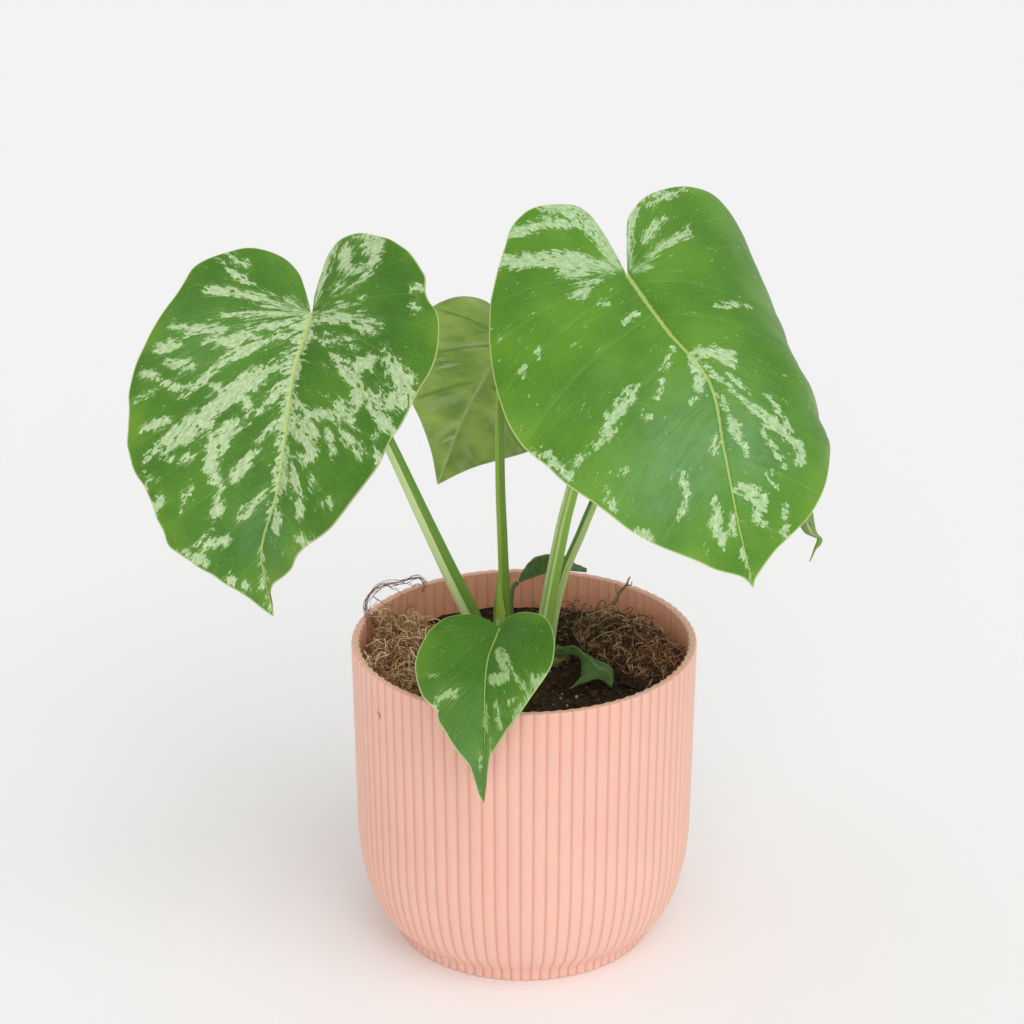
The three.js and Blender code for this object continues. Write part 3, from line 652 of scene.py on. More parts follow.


# ---- leaves

# spine, sway, facing, fold and roll are those of the CAD blade. Edges: each half's margin from the tip
# to the notch as x, y, x, y ..., flat places across and along the spine. Marks: cream strokes as
# (width, x, y, x, y ...); a negative width is a green island. Nudges: (x, y, size, push) on the bent sheet.
# Circles (x, y, radius) of painted reflection: there the blade is tinted bluish and made glossier.
LEFT = {
    "spine": [[-93, -20, 312], [-98, -48, 276], [-103, -68, 237], [-109, -76, 193]],
    "sway": [0, -4.3, -4.7, -5.3, -9, 0], "facing": [[-20, 30], [-18, 14]], "fold": [14, 24],
    "roll": [[22, 22, 22], [22, 22, 22]],
    "edges": [
        [0, 135.6, -6.2, 132.5, -11.2, 129.7, -17.5, 127, -23, 125, -29, 122, -35, 120, -40, 117.6, -45, 115.5,
         -50.3, 112.6, -53.3, 106.3, -57, 100.6, -59.4, 95, -62, 90, -65, 85, -68.7, 80.6, -71.2, 76.2, -73, 71,
         -75, 65, -75.6, 57.5, -76.3, 50, -77.5, 42.5, -77.3, 35, -76.6, 27.5, -75, 20.6, -72.5, 13, -69.4, 6.2,
         -65.6, 0, -61.3, -7, -58.8, -12, -56.5, -17.5, -52.5, -21.2, -46.2, -24.4, -40, -26.5, -33.7, -28.2,
         -27, -28.2, -20, -26.5, -13.8, -23.7, -8.8, -19.4, -6, -15, -4.4, -8.7, -1.9, -2.2],
        [0, 135.6, -1.2, 132, -2.2, 127.5, -1.9, 123.7, 0, 120, 3.7, 117, 7.5, 113.7, 10.6, 110, 12, 105, 15, 101.2,
         18.7, 98, 23, 95, 28, 91.2, 32.5, 86.2, 36.2, 82, 40.6, 77, 45.6, 71.2, 48.7, 67, 53, 58, 57.5, 52, 61.2, 45,
         64.4, 39.4, 68, 33.7, 70.2, 27.5, 70.6, 20, 69.7, 12.5, 67.5, 6.2, 63.7, 1.2, 61.2, -3.7, 60.4, -10, 58, -13.7,
         55, -17.5, 50.6, -22.5, 46.2, -25.6, 40.6, -29, 35, -31, 28.7, -33, 22.5, -34.4, 16.2, -34, 11.2, -32.5,
         7.5, -29.4, 4.7, -25, 3.1, -20, 2.4, -13.7, 1.9, -7.5, 1.3, -2],
    ],
    "marks": [
        (4, -3, -1, -25, -5, -48, -9), (2.6, -28, -12, -40, -18), (3.6, -30, -20, -44, -25), (3, -5, 1, -20, 2, -38, 3),
        (3, -3, 5, -33, 10), (4, -62, 8, -50, 10, -38, 9), (6, -45, 15, -35, 15, -22, 12), (3, -68, 20, -57, 17),
        (5, -60, 25, -47, 30), (4, -72, 31, -55, 38, -45, 35), (3, -74, 45, -64, 38), (4, -5, 10, -33, 23, -52, 42),
        (9, -8, 22, -25, 35, -40, 50, -55, 62, -65, 72), (5, -68, 58, -58, 54), (3, -58, 61, -53, 58),
        (4, -55, 72, -45, 68), (7, -25, 50, -35, 65, -33, 80), (5, -15, 60, -25, 78), (4, -10, 50, -20, 70),
        (3, -42, 83, -47, 95), (4, -30, 80, -32, 100), (3, -10, 80, -20, 95), (4, -25, 105, -38, 110),
        (4, -62, 80, -64, 87), (4, -57, 90, -60, 100), (3, -45, 113, -30, 118), (3, -22, 122, -12, 125),
        (4, -40, 36, -22, 44, -30, 60), (3, -6, 30, -18, 48), (4, -22, 28, -38, 44, -46, 60),
        (6, 2, -5, 4, -15, 8, -30), (9, 11, -28, 22, -23, 33, -27), (8, 33, -29, 33, -20), (4, 20, -33, 35, -31),
        (4, 12, -9, 22, -12, 33, -17), (4, 28, -3, 18, -1, 8, 0), (4, 14, -20, 24, -16), (5, 1, 3, 25, 5, 42, 12),
        (5, 26, 8, 40, 12), (4.5, 1, 11, 15, 15, 30, 20), (7, 17, 24, 30, 33, 35, 45),
        (8, 30, 28, 45, 28, 58, 35, 58, 45), (3, 42, 26, 45, 22), (6, 40, 45, 55, 55), (9, 0, 42, 30, 48, 45, 55),
        (8, 38, 38, 55, 44), (10, 1, 49, 12, 60, 9, 66), (4, 20, 55, 25, 63), (5, 28, 55, 48, 65), (5, -3, 18, 0, 40),
        (4, -4, 60, -1, 80), (4, 2, 66, 10, 88), (3, -5, 85, 0, 98), (3, 14, 73, 18, 78), (4, 20, 83, 28, 82),
        (3, 5, 102, 10, 105), (3.5, 12, 98, 20, 100), (1.6, 57, 2, 58, 6), (1.6, 56, -5, 58, -5), (4, -3, 1, -12, -5),
        (3, -8, 108, -6, 122), (3, -4, 126, -1, 132), (-7, 24, -26, 23, -22), (-5, 20, -13, 26, -14),
        (-6, 20, -4, 26, -4), (-6, 8, -2, 14, -3), (-16, 6, 25, 14, 32, 20, 37), (-12, 2, 28, 8, 38, 20, 41),
        (-7, 36, 33, 40, 35), (-8, 37, 48, 43, 53), (-5, 44, 30, 44, 31), (-4, 15, 55, 18, 60)],
    "seed": 11, "rib": 2.1, "fall": 4.2, "sheen": [(-48, 16, 18), (-6, 100, 16)], "waves": 0.9,
}
RIGHT = {
    "spine": [[45, -10, 326], [62, -50, 292], [79, -76, 255], [98, -84, 210]], "sway": [0, 7, 16, 11, 5, 0],
    "facing": [[6, 28], [14, 14]], "fold": [4, 10], "roll": [[22, 22, 22], [101, 131, 85]],
    "edges": [
        [0, 153.6, -1, 150.6, -2.5, 147.5, -5.6, 144.4, -10, 140.8, -13.5, 137.5, -18.7, 131.3, -25, 125, -32.5, 117.5,
         -40, 108.7, -45.6, 100, -50.6, 92.5, -56.2, 85, -59.6, 79.4, -62.7, 72.5, -67, 65.6, -69.8, 58.7, -71.5, 50,
         -71.7, 40, -71, 30, -69.4, 20, -67, 10, -64.4, 2, -61.2, -7, -57, -15, -53, -22, -49.4, -27.5, -45.6, -33,
         -42.5, -38, -39.4, -41.2, -35, -44, -30, -46, -23.7, -46, -17.5, -44.4, -12.5, -42.5, -8.7, -39.4, -5.6, -33.7,
         -3.8, -27.5, -2.5, -20, -1.6, -10, -0.9, -2.2],
        [0, 153.6, 0.7, 152, 2.5, 150, 6.2, 147.5, 11.2, 144.4, 16.2, 142, 21.2, 140.6, 28.7, 138.7, 36.2, 137,
         45, 133.7, 54.4, 129.4, 63.7, 123, 71.2, 117, 78, 110, 84.4, 100, 88.7, 91.2, 92.2, 78.7, 93.7, 67.5, 94.2, 55,
         94.2, 40, 94, 25, 93, 12.5, 92, 1.2, 90.6, -10, 88, -20, 83.7, -27, 77.5, -32.5, 70, -36, 62.5, -38.7,
         55, -40.2, 46.2, -40.4, 38.7, -40, 31.2, -39, 25, -37.5, 18.7, -35, 13, -30.6, 9.4, -27, 7, -21.2, 5, -14.4,
         3.1, -7.5, 1.2, -2],
    ],
    "marks": [
        (7, -2, -5, -6, -25, -12, -38, -24, -45), (6, -42, -36, -25, -37, -15, -32), (6, -14, -42, -12, -32),
        (8, -50, -26, -35, -20, -20, -15, -6, -5), (7, -28, -13, -20, -9, -13, -12), (2, -22, -3, -12, -1),
        (4.6, -26, 3, -18, 1), (2, -17, 10, -13, 12), (3.4, -10, 23, -3, 20), (2.4, -49, 22, -49, 27),
        (2.4, -60, 32, -57, 28), (1.2, -33, 26, -32, 27), (5, -15, 54, -27, 62, -35, 70),
        (2.4, -35, 71, -47, 74, -55, 80), (1.8, -17, 68, -10, 70), (1.3, 8, 40, 0, 50, -8, 62),
        (4.2, 12, 48, 13, 58, 5, 68), (1.8, -30, 85, -35, 87), (1.7, -10, 96, -12, 104, -18, 111), (3, 10, 86, 6, 92),
        (4, -68, 65, -60, 68), (5, -60, 70, -55, 82), (4, -42, 90, -43, 100), (5, -38, 110, -33, 114),
        (5, -1, 112, -4, 120, -6, 130), (3, 3, 120, 1, 128), (3, 2, -3, 8, -20, 15, -33, 30, -38),
        (2, 20, -31, 45, -40), (3.2, 12, -14, 25, -23), (2.6, 12, -5, 20, -10, 33, -14, 35, -18), (2.4, 2, -1, 10, -1),
        (2.4, 32, 26, 50, 24), (6, 15, 46, 27, 52, 28, 57), (1.7, 16, 52, 25, 70, 28, 78),
        (5.6, 28, 78, 38, 90, 45, 105, 42, 112), (1.4, 25, 60, 30, 72), (1.5, 38, 75, 45, 95), (1.3, 17, 65, 20, 85),
        (3.2, 18, 80, 19, 98), (2.2, 30, 90, 33, 110), (6, 10, 110, 18, 118, 12, 126), (1.6, 24, 110, 25, 118),
        (3, 28, 125, 22, 138), (1.3, 15, 129, 15, 131), (1.5, 2, 135, 1, 148), (-6, -37, -41, -30, -42),
        (-5, -38, -31, -27, -30, -20, -29)],
    "seed": 12, "rib": 1.6, "fall": 2.6, "sheen": [(2, 84, 26), (24, 98, 26), (-22, 96, 20)],
    "nudges": [(92, 59, 14, [-3.2, 0, 0]), (92, 22, 12, [1.6, 0, 0]), (78, 104, 12, [1.0, 0, 0])], "waves": 1.0,
}
FRONT = {
    "spine": [[-11, -52, 176], [-13, -80, 161], [-16, -93, 139], [-18, -96, 112]],
    "sway": [0, -4.2, -4.3, -2.2, -0.5, 0], "facing": [[-14, 26], [-8, 4]], "fold": [14, 18],
    "roll": [[25, 25, 25], [25, 25, 25]],
    "edges": [
        [0, 85.5, -2.4, 81.3, -4.1, 76.3, -5.6, 72, -7.4, 67.7, -9.9, 64.9, -13.4, 61.3, -16.3, 58.1, -19.1, 54.5,
         -22, 51.3, -23.3, 48.8, -23.8, 46.3, -25.9, 44.5, -28.1, 43.1, -30.9, 40.6, -32.7, 37, -34.1, 33.4,
         -35.2, 28.4, -36, 23.4, -36.1, 18.4, -35.4, 13.4, -34.1, 8.4, -32, 3.4, -28.8, -0.5, -24.9, -4.1, -19.9, -6.2,
         -14.9, -7.1, -10.6, -6.4, -7, -4.6, -3.4, -2.3, -1.5, -1],
        [0, 85.5, 0.3, 83.4, 0.7, 77.7, 0.8, 72, 1.1, 67, 1.7, 62.7, 3.7, 59.1, 5.9, 55.2, 8, 51.3, 10.1, 48.1,
         12.6, 44.9, 15.1, 41.3, 18, 37.4, 21.6, 33.4, 24.8, 30.2, 27.3, 27, 28.4, 22.7, 28.6, 17.7, 27.6, 12, 25.9, 7,
         23.7, 2.7, 20.9, -0.5, 16.6, -3.1, 12.3, -4.8, 8.7, -5.3, 5.1, -4.8, 2.6, -3.4, 1.2, -1.6],
    ],
    "marks": [
        (2.8, -25, 42, -19, 37, -16, 35), (1.6, -22, 39, -15, 39), (1.3, -30, 29, -26, 29),
        (2.6, -26, 44.4, -23.4, 46.6), (5.5, 1, 14, 4, 21, 7, 27), (5, -2, 28, 2, 30, 7, 28), (2, 10, 29, 15, 34),
        (2.8, 25, 30.5, 20, 32), (1.6, 19, 32, 16, 38, 11, 45), (2.4, 18, 30, 20, 34), (1.7, 2, 40, 5, 50),
        (1.3, -3, 40, -1, 52), (1.2, 2, 55, 2, 62), (1.2, -3, 46, -3, 49), (1.2, 8, 40, 11, 38), (0.9, -3, 62, -3, 70)],
    "seed": 13, "rib": 0.8, "fall": 1.6, "sheen": [(-3, 70, 14)], "waves": 0.5,
}
BACK = {
    "spine": [[-7, 25, 284], [-19, 40, 256], [-30, 54, 227], [-41, 65, 197]], "sway": [0, 1, 2, 2, 1, 0],
    "facing": [[180, 30], [180, 20]], "fold": [8, 8], "roll": [[20, 20, 20], [20, 20, 20]], "sinus": 150,
    "radii": [[101, 91, 84, 78, 70, 60, 50, 42, 35, 26, 14], [101, 84, 71, 62, 55, 49, 43, 39, 34, 26, 14]],
    "marks": [
        (4, 3, 3, 16, 12, 30, 16), (7, 34, 20, 42, 30), (3, -4, 10, -18, 20), (5, -30, 24, -42, 38), (5, 8, 44, 20, 58),
        (2, 4, 60, 9, 78), (6, -12, 50, -18, 60), (2.4, -4, 72, -10, 92), (5, 14, -12, 28, -20), (2, -8, -8, -20, -14),
        (3, -36, 2, -44, 6), (4, 34, 58, 28, 70)],
    "seed": 14, "rib": 1.2, "fall": 5, "sheen": [], "waves": 0.8,
}
BACK_RIGHT = {
    "spine": [[76, 38, 277], [98, 55, 244], [119, 68, 206], [140.5, 74, 171]], "sway": [0, -2, -3, -2, 0, 0],
    "facing": [[150, 30], [150, 20]], "fold": [10, 10], "roll": [[25, 25, 25], [25, 25, 25]], "sinus": 150,
    "radii": [[116, 102, 88, 75, 62, 52, 45, 40, 35, 26, 13]] * 2,
    "marks": [
        (3, 4, 6, 16, 14, 24, 26), (8, 28, 30, 36, 44), (2.6, -4, 14, -14, 26), (6, -26, 12, -38, 20),
        (5, 6, 52, 14, 66), (2, 3, 80, 7, 96), (6, -14, 44, -22, 58), (2.4, -3, 84, -6, 108), (5, 10, -14, 22, -24),
        (3, -30, 50, -27, 62), (3, 26, 62, 20, 78)],
    "seed": 15, "rib": 1.1, "fall": 5, "sheen": [], "waves": 0.8,
}
LEAVES = {"left": LEFT, "right": RIGHT, "front": FRONT, "back": BACK, "back_right": BACK_RIGHT}
STATIONS = [0, 0.04, 0.1, 0.18, 0.28, 0.4, 0.53, 0.66, 0.79, 0.9, 0.97]    # the radii's angles, as shares of sinus
FAN_SHARE = 0.5         # side veins of the outer half of the margin's length all start at the stalk
SIDE_VEINS = 12.8
MARK_CORE = 0.06
MARGIN_POINTS = 400
NUDGE_REACH = 36
VEIN_SPREAD = 260       # keeps the side veins apart in the vein attribute's first number
HALVES_APART = 500      # gives a blade's halves noise of their own
STALKS_APART = 3.1
BLADE_EDGE, BLADE_BODY = 0.3, 0.62      # thickness of the sheet at its margin and inside


class Form:
    """The curved sheet that a blade lies on."""

    def __init__(self, leaf):
        self.leaf = leaf
        self.turns = np.linspace(0, len(leaf["spine"]) - 1, 301)
        line = spline(leaf["spine"], self.turns)
        self.run = np.r_[0, np.cumsum(np.linalg.norm(np.diff(line, axis=0), axis=1))]
        self.length = self.run[-1]
        self.facing = [np.array([math.sin(c) * math.cos(h), -math.cos(c) * math.cos(h), math.sin(h)])
                       for c, h in np.radians(leaf["facing"])]

    def sway(self, y):
        """How far to the side the midrib lies."""
        return spline(self.leaf["sway"], np.clip(y / self.length, 0, 1) * (len(self.leaf["sway"]) - 1))

    def place(self, x, y):
        """Where a flat place lies once the sheet is bent."""
        leaf = self.leaf
        inside = np.clip(y, 0, self.length)
        u = np.interp(inside, self.run, self.turns)
        lo, hi = (np.clip(u + step, 0, self.turns[-1]) for step in (-0.01, 0.01))
        tangent = unit(spline(leaf["spine"], hi) - spline(leaf["spine"], lo))
        foot = spline(leaf["spine"], u) + tangent * (y - inside)[..., None]
        share = (inside / self.length)[..., None]
        up = self.facing[0] * (1 - share) + self.facing[1] * share
        up = unit(up - (up * tangent).sum(-1, keepdims=True) * tangent)
        across = np.cross(up, tangent)
        sway = self.sway(y)
        out = x - sway
        fold = np.radians(np.where(out > 0, leaf["fold"][1], leaf["fold"][0]))
        rolls = [spline(values, 2 * inside / self.length) for values in leaf["roll"]]
        roll = np.radians(np.where(out > 0, rolls[1], rolls[0])) / 100
        turned = fold - roll * np.abs(out)
        reach = (np.sin(fold) - np.sin(turned)) / roll
        rise = (np.cos(turned) - np.cos(fold)) / roll
        place = foot + across * (sway + np.sign(out) * reach)[..., None] + up * rise[..., None]
        for near_x, near_y, size, push in leaf.get("nudges", ()):
            weight = np.exp(-(((x - near_x) / NUDGE_REACH) ** 2 + ((y - near_y) / size) ** 2))
            place = place + weight[..., None] * push
        return place


def margin_of(leaf, half):
    """One half's margin from tip to notch, read off the table or swung round the stalk by its radii."""
    if "edges" in leaf:
        return np.reshape(leaf["edges"][half], (-1, 2))
    angle = np.radians(np.array(STATIONS) * leaf["sinus"])
    sign = 1 if half else -1
    radii = np.array(leaf["radii"][half], float)
    return np.stack([sign * np.r_[np.sin(angle) * radii + 0.5, 1.4], np.r_[np.cos(angle) * radii, -1.6]], 1)


def mark_field(marks, fall, x, y):
    """Over 0 in a cream stroke and down to -1 away from it, so that noise can tear its border."""
    places = np.stack([x.ravel(), y.ravel()], 1)
    field = np.full(len(places), -1.0)
    for width, *path in sorted(marks, key=lambda mark: mark[0] < 0):        # green islands come last
        half = abs(width) / 2
        path = np.array(path, float).reshape(-1, 2)
        length = np.linalg.norm(np.diff(path, axis=0), axis=1).sum()
        dots = even_path(path, max(4, int(length / 1.2)), 8)
        lo, hi = dots.min(0) - half - fall, dots.max(0) + half + fall
        near = np.nonzero(((places > lo) & (places < hi)).all(1))[0]
        if not len(near):
            continue
        share = np.linspace(0, 1, len(dots))
        brush = half * (0.45 + 0.55 * np.sqrt(4 * share * (1 - share)))
        gap = (np.linalg.norm(places[near][:, None] - dots[None], axis=2) - brush).min(1)
        value = np.clip(MARK_CORE - gap / fall, -1, 0.6)
        field[near] = np.maximum(field[near], value) if width > 0 else np.minimum(field[near], -value)
    return field.reshape(x.shape)


def flat_blade(leaf, form, rows, columns):
    """Flat grid of a blade: each row runs in from the left margin along the side veins, and out to the right."""
    s = np.linspace(0, 1, rows) ** 0.93
    d = np.linspace(0, 1, columns + 1) ** 1.25
    t = d[None, :, None]
    halves = []
    for half in (0, 1):
        edge = even_path(margin_of(leaf, half), MARGIN_POINTS, 12)
        margin = np.stack([np.interp(s, np.linspace(0, 1, MARGIN_POINTS), edge[:, k]) for k in (0, 1)], 1)
        foot = (form.length - 1) * np.maximum(0, 1 - s / FAN_SHARE) ** 1.25
        start = np.stack([form.sway(foot), foot], 1)
        span = np.linalg.norm(start - margin, axis=1)
        bow = (start + margin) / 2
        bow[:, 1] -= 0.08 * span
        flat = (1 - t) ** 2 * start[:, None] + 2 * t * (1 - t) * bow[:, None] + t * t * margin[:, None]
        nearest = np.abs(((s * SIDE_VEINS) % 1) - 0.5) * 2          # 1 on a side vein
        side = np.exp(-(1 - nearest) ** 2 / 0.006)
        more = (d, s[:, None], span[:, None], side[:, None], float(half))
        halves.append([flat[..., 0], flat[..., 1], *(np.broadcast_to(a, flat.shape[:2]) for a in more)])
    return [np.concatenate([left[:, :0:-1], right], axis=1) for left, right in zip(*halves)]


def make_leaf(name, rows, columns, looks, extra):
    """A blade with raised and sunken veins, on the CAD blade's own curve."""
    leaf = LEAVES[name]
    form = Form(leaf)
    x, y, d, s, span, side, half = flat_blade(leaf, form, rows, columns)
    place = np.stack([x, y], -1)
    none = 0 * x
    step = 0.4
    along = form.place(x, y + step) - form.place(x, y - step)
    across = form.place(x + step, y) - form.place(x - step, y)
    normal = unit(np.cross(along, across))
    from_rib = d * span
    edge = (1 - d) * span
    middle = np.abs(x - form.sway(y))
    inner = np.where((y > -1) | (middle < 1), middle, 99)
    width = leaf["rib"] * (1 - 0.72 * np.clip(y / form.length, 0, 1))
    rib = bell(inner, width)
    fade = smooth(0, 9, from_rib) * smooth(0, 6, edge)
    quilt = 0.55 * (1 - side) * fade
    waves = (ripples(place, 42, leaf["seed"]) * 0.5 * leaf["waves"] * smooth(2, 25, from_rib)
             + ripples(place, 16, leaf["seed"] + 1) * 0.14 + 0.3)
    body = BLADE_EDGE + (BLADE_BODY - BLADE_EDGE) * smooth(0, 5, edge)
    under_rib = 1.3 * bell(inner, 1.15 * width) * smooth(-4, 6, form.length - y)
    points = form.place(x, y)
    top = points + normal * (waves + quilt * 0.6 - 0.5 * rib)[..., None]
    bottom = points + normal * (waves + quilt * 0.35 - body - under_rib - 0.35 * side * fade)[..., None]
    values = {
        "flat": np.stack([x, y, 40 * half], -1),
        "vein": np.stack([s * VEIN_SPREAD + HALVES_APART * half, from_rib, none], -1),
        "edge": edge, "rib": rib, "side_vein": side * fade,
        "near_rib": bell(inner, 3.4 * width) * (1 - smooth(0.55, 0.85, y / form.length)),
        # a bell round each circle of painted reflection
        "sheen": none + sum(bell(np.hypot(x - cx, y - cy), r) for cx, cy, r in leaf["sheen"]),
        "patch": mark_field(leaf["marks"], leaf["fall"], x, y),
    }
    # The lower sheet needs half the points
    keep_rows = np.unique(np.r_[np.arange(0, rows, 2), rows - 1])
    keep = np.ix_(keep_rows, np.arange(0, x.shape[1], 2))
    low_faces = grid_faces(len(keep_rows), keep[1].size, flip=True)
    piece(f"leaf_{name}", [(top, grid_faces(rows, x.shape[1]), 0, values),
                           (bottom[keep], low_faces, 1, {k: v[keep] for k, v in values.items()}), *extra],
          f"blade_{name}", looks)


def make_leaves():
    """The five large blades, each with its grid's size and what leaf_top takes."""
    plain = (66, 120, 16), (101, 154, 26)
    cream = (146, 182, 126), (194, 219, 170)
    under = leaf_under("leaf_under", (172, 202, 104), (200, 218, 166))
    tail = leaf_under("leaf_tail", (124, 138, 108), (142, 158, 116))
    for name, rows, columns, *look in (
            ("left", 261, 78, (58, 110, 18), (80, 130, 26), (152, 182, 132), (198, 218, 168), 0.24, 0.7, 0.1),
            ("right", 261, 78, (70, 124, 18), (92, 146, 26), *cream, 0.21, 2.5, 0.75),
            ("front", 189, 52, (60, 110, 20), (74, 124, 26), (136, 172, 106), (174, 200, 140), 0.28, 1.6, 0.75),
            ("back", 141, 44, *plain, *cream, 0.28, 1.2, 0.4),
            ("back_right", 141, 44, *plain, *cream, 0.28, 1.2, 0.4)):
        more = ([tail], drip_tail()) if name == "back_right" else ([], [])
        make_leaf(name, rows, columns, [leaf_top(f"leaf_top_{name}", *look), under, *more[0]], more[1])


def drip_tail():
    """The twisted tip of the leaf at the back right, as more parts of its blade."""
    rows, columns, bend = 56, 9, 36
    line = even_path([(131.4, 70.8, 188), (134, 72.6, 181), (136.4, 73.8, 175), (138.6, 74, 169.3),
                      (141.7, 74, 166.2), (143.3, 74, 164.8), (142.8, 73.7, 162.6), (141.2, 73.6, 160),
                      (140, 73.6, 156.4), (138.9, 73.6, 153.3)], rows)
    t = np.linspace(0, 1, rows)
    turn = np.radians(38 - 66 * smooth(0.6, 0.74, t))
    wide = np.interp(t, [0, 0.36, 0.5, 0.62, 0.68, 0.74, 0.82, 0.91, 1],
                     [3.6, 4.4, 3.3, 1.3, 1.4, 1.2, 0.6, 0.35, 0.2])[:, None]
    across = np.stack([np.cos(turn), 0.5 * np.cos(math.pi * t), np.sin(turn)], 1) * wide
    share = np.linspace(-1, 1, columns)
    points = line[:, None] + across[:, None] * share[None, :, None]
    points[..., 1] += 0.4 * wide * share**2
    none = np.zeros((rows, columns))
    flat = np.stack([share * wide + 70, t[:, None] * 30 + none, none + 80], -1)
    values = {"flat": flat, "vein": flat, "edge": wide * (1 - abs(share)) + 0.45, "rib": bell(share, 0.2) + none,
              "side_vein": none, "near_rib": none, "sheen": none, "patch": none - 1}
    parts = []
    for first, last, look in ((0, bend + 1, 2), (bend, rows, 0)):       # the wedge, then the thin tip
        own = {key: value[first:last] for key, value in values.items()}
        for depth, flip in ((0, False), (0.35, True)):
            parts.append((points[first:last] + [0, depth, 0], grid_faces(last - first, columns, flip=flip), look, own))
    return parts


# ---- stalks and stem

# Path, radii at foot and blade, and what stalk_look takes
STALKS = {
    "left": ([[-16, 16, 129], [-25, 8, 156], [-36, 0, 185], [-48, -8, 217], [-59, -14, 246], [-77, -20, 290],
              [-87, -17, 306], [-93.1, -21.6, 308.1]], (4.6, 2), (104, 148, 52), (210, 230, 166), 0.22, 0.6),
    "right": ([[7, 14, 129], [10, 14, 150], [14, 10, 177], [18.5, 4, 205], [22, 0, 222], [30, -5, 262], [38, -7, 297],
               [43, -6, 316], [46.3, -12.1, 322.6]], (3.7, 2.2), (150, 196, 84), (204, 230, 156), -0.25, 1.6, 0.8),
    "back": ([[-8.5, 18, 129], [-9, 16, 158], [-10, 14, 190], [-11, 15, 220], [-11, 18, 258], [-9, 20, 277],
              [-7, 23, 284]], (2.7, 1.9), (108, 146, 44), (150, 184, 66), -0.3, 1.2),
    "back_right": ([[11.5, 21, 129], [14.5, 20, 152], [19.5, 22, 172], [26, 24, 188], [32, 26, 203], [47, 31, 238],
                    [63, 33, 263], [77.2, 38.4, 274.1]], (2.6, 1.7), (200, 220, 148), (92, 136, 46), -0.3, 0.9),
    "front": ([[-9, 13, 132], [-10, 0, 145], [-11, -20, 161], [-11, -40, 173], [-11.2, -54.6, 173.4]], (2.3, 1.6),
              (88, 134, 40), (120, 158, 62), -0.4, 1.4),
    "curled": ([[-4, 22.5, 132], [-6, 31, 143], [-6, 37, 150], [-5, 40, 155], [-2.7, 41.5, 156.6]], (1.7, 1.1),
               (70, 96, 48), (96, 122, 64), -0.4, 1.2),
}


def stalk_part(path, radii, seed):
    """A stalk with a shallow channel along its upper side and a thicker foot."""
    rows, sides = 110, 28
    line = even_path(path, rows)
    t = np.linspace(0, 1, rows)
    radius = radii[0] + (radii[1] - radii[0]) * t + 0.175 * radii[0] * np.exp(-t / 0.035)
    radius[-3:] *= [0.98, 0.93, 0.8]
    points, faces = tubes(line[None], radius[None], sides)
    turn = circle(sides)
    centre = line[:, None]
    channel = 1 - 0.2 * bell(np.angle(np.exp(1j * (turn - 1.5 * math.pi))), 0.35)
    ridges = 1 + 0.025 * np.cos(7 * turn + seed)
    points = centre + (points.reshape(rows, sides, 3) - centre) * (channel * ridges)[None, :, None]
    run = t[:, None] * np.ones(sides)
    stripe = np.stack([np.cos(turn) * 1.6 + 0 * run, np.sin(turn) * 1.6 + 0 * run, run * 1.1 + seed], -1)
    return points, faces, 0, {"stripe": stripe, "across": np.cos(turn) + 0 * run, "low": np.exp(-run / 0.05)}


def sheath_parts(path):
    """The thin sheath that clasps the left of the back stalk's foot: its outer and its inner face."""
    rows, columns = 40, 17
    line = even_path(path, 160)[:45]
    v = np.linspace(0, 1, rows)[:, None]
    centre = np.stack([np.interp(v, np.linspace(0, 1, len(line)), line[:, k]) for k in range(3)])
    share = np.linspace(-1, 1, columns)
    turn = math.pi + 0.35 + 1.2 * (1 - smooth(0.55, 1, v) * 0.7) * share
    wide = np.minimum(2.7 + 5.0 * (1 - v) ** 0.75, 6.2)
    radius = wide * (1 - 0.3 * share**2) + 0.12 * np.cos(9 * v)
    x = centre[0] + radius * np.cos(turn)
    points = np.stack([x, centre[1] + radius * np.sin(turn), centre[2] + 0 * x], -1)
    values = {"across": 0 * x - share, "stripe": np.stack([-2 * share + 0 * x, 0 * x, v + 0 * x], -1),
              "low": 1 - v + 0 * x}
    return [(points, grid_faces(rows, columns), 0, values),
            (points + [0.35, 0, 0], grid_faces(rows, columns, flip=True), 0, values)]


def make_stalks():
    """Six stalks, the back one with its sheath."""
    for number, (name, (path, radii, *look)) in enumerate(STALKS.items()):
        parts = [stalk_part(path, radii, STALKS_APART * number)]
        parts += sheath_parts(path) if name == "back" else []
        piece(f"stalk_{name}", parts, f"petiole_{name}",
              [stalk_look(f"stalk_{name}", *look)])


def make_stem():
    """The short, lumpy stem with its leaf scars as rings."""
    rows, columns = 120, 40
    start, end, y, z, radius = -17, 14, 17, 127, 8
    x = start - radius + (end - start + 2 * radius) * np.linspace(0, 1, rows)[:, None]
    from_end = np.minimum(x - (start - radius), (end + radius) - x)
    r = radius * np.sqrt(np.clip(1 - (1 - np.clip(from_end / radius, 0, 1)) ** 2, 0, 1)) * 0.985
    r = r * (1 - 0.055 * bell((x + 1.5) % 6.5 - 3.2, 0.55))
    turn = circle(columns)
    points = np.stack([x + 0 * turn, y + r * np.cos(turn), z + r * np.sin(turn)], -1)
    points = points + 0.25 * lumps(points, 3.5)[..., None] * unit(points - [0, y, z]) * [0, 1, 1]
    look = rough_look("stem_bark", (92, 106, 52), (132, 134, 76), (118, 88, 56), 190, 0.6, 0.001, 0.7)
    piece("stem_rings", [(points, grid_faces(rows, columns, wrap=True), 0, {})], "stem", [look])


# ---- small leaves, roots, twig

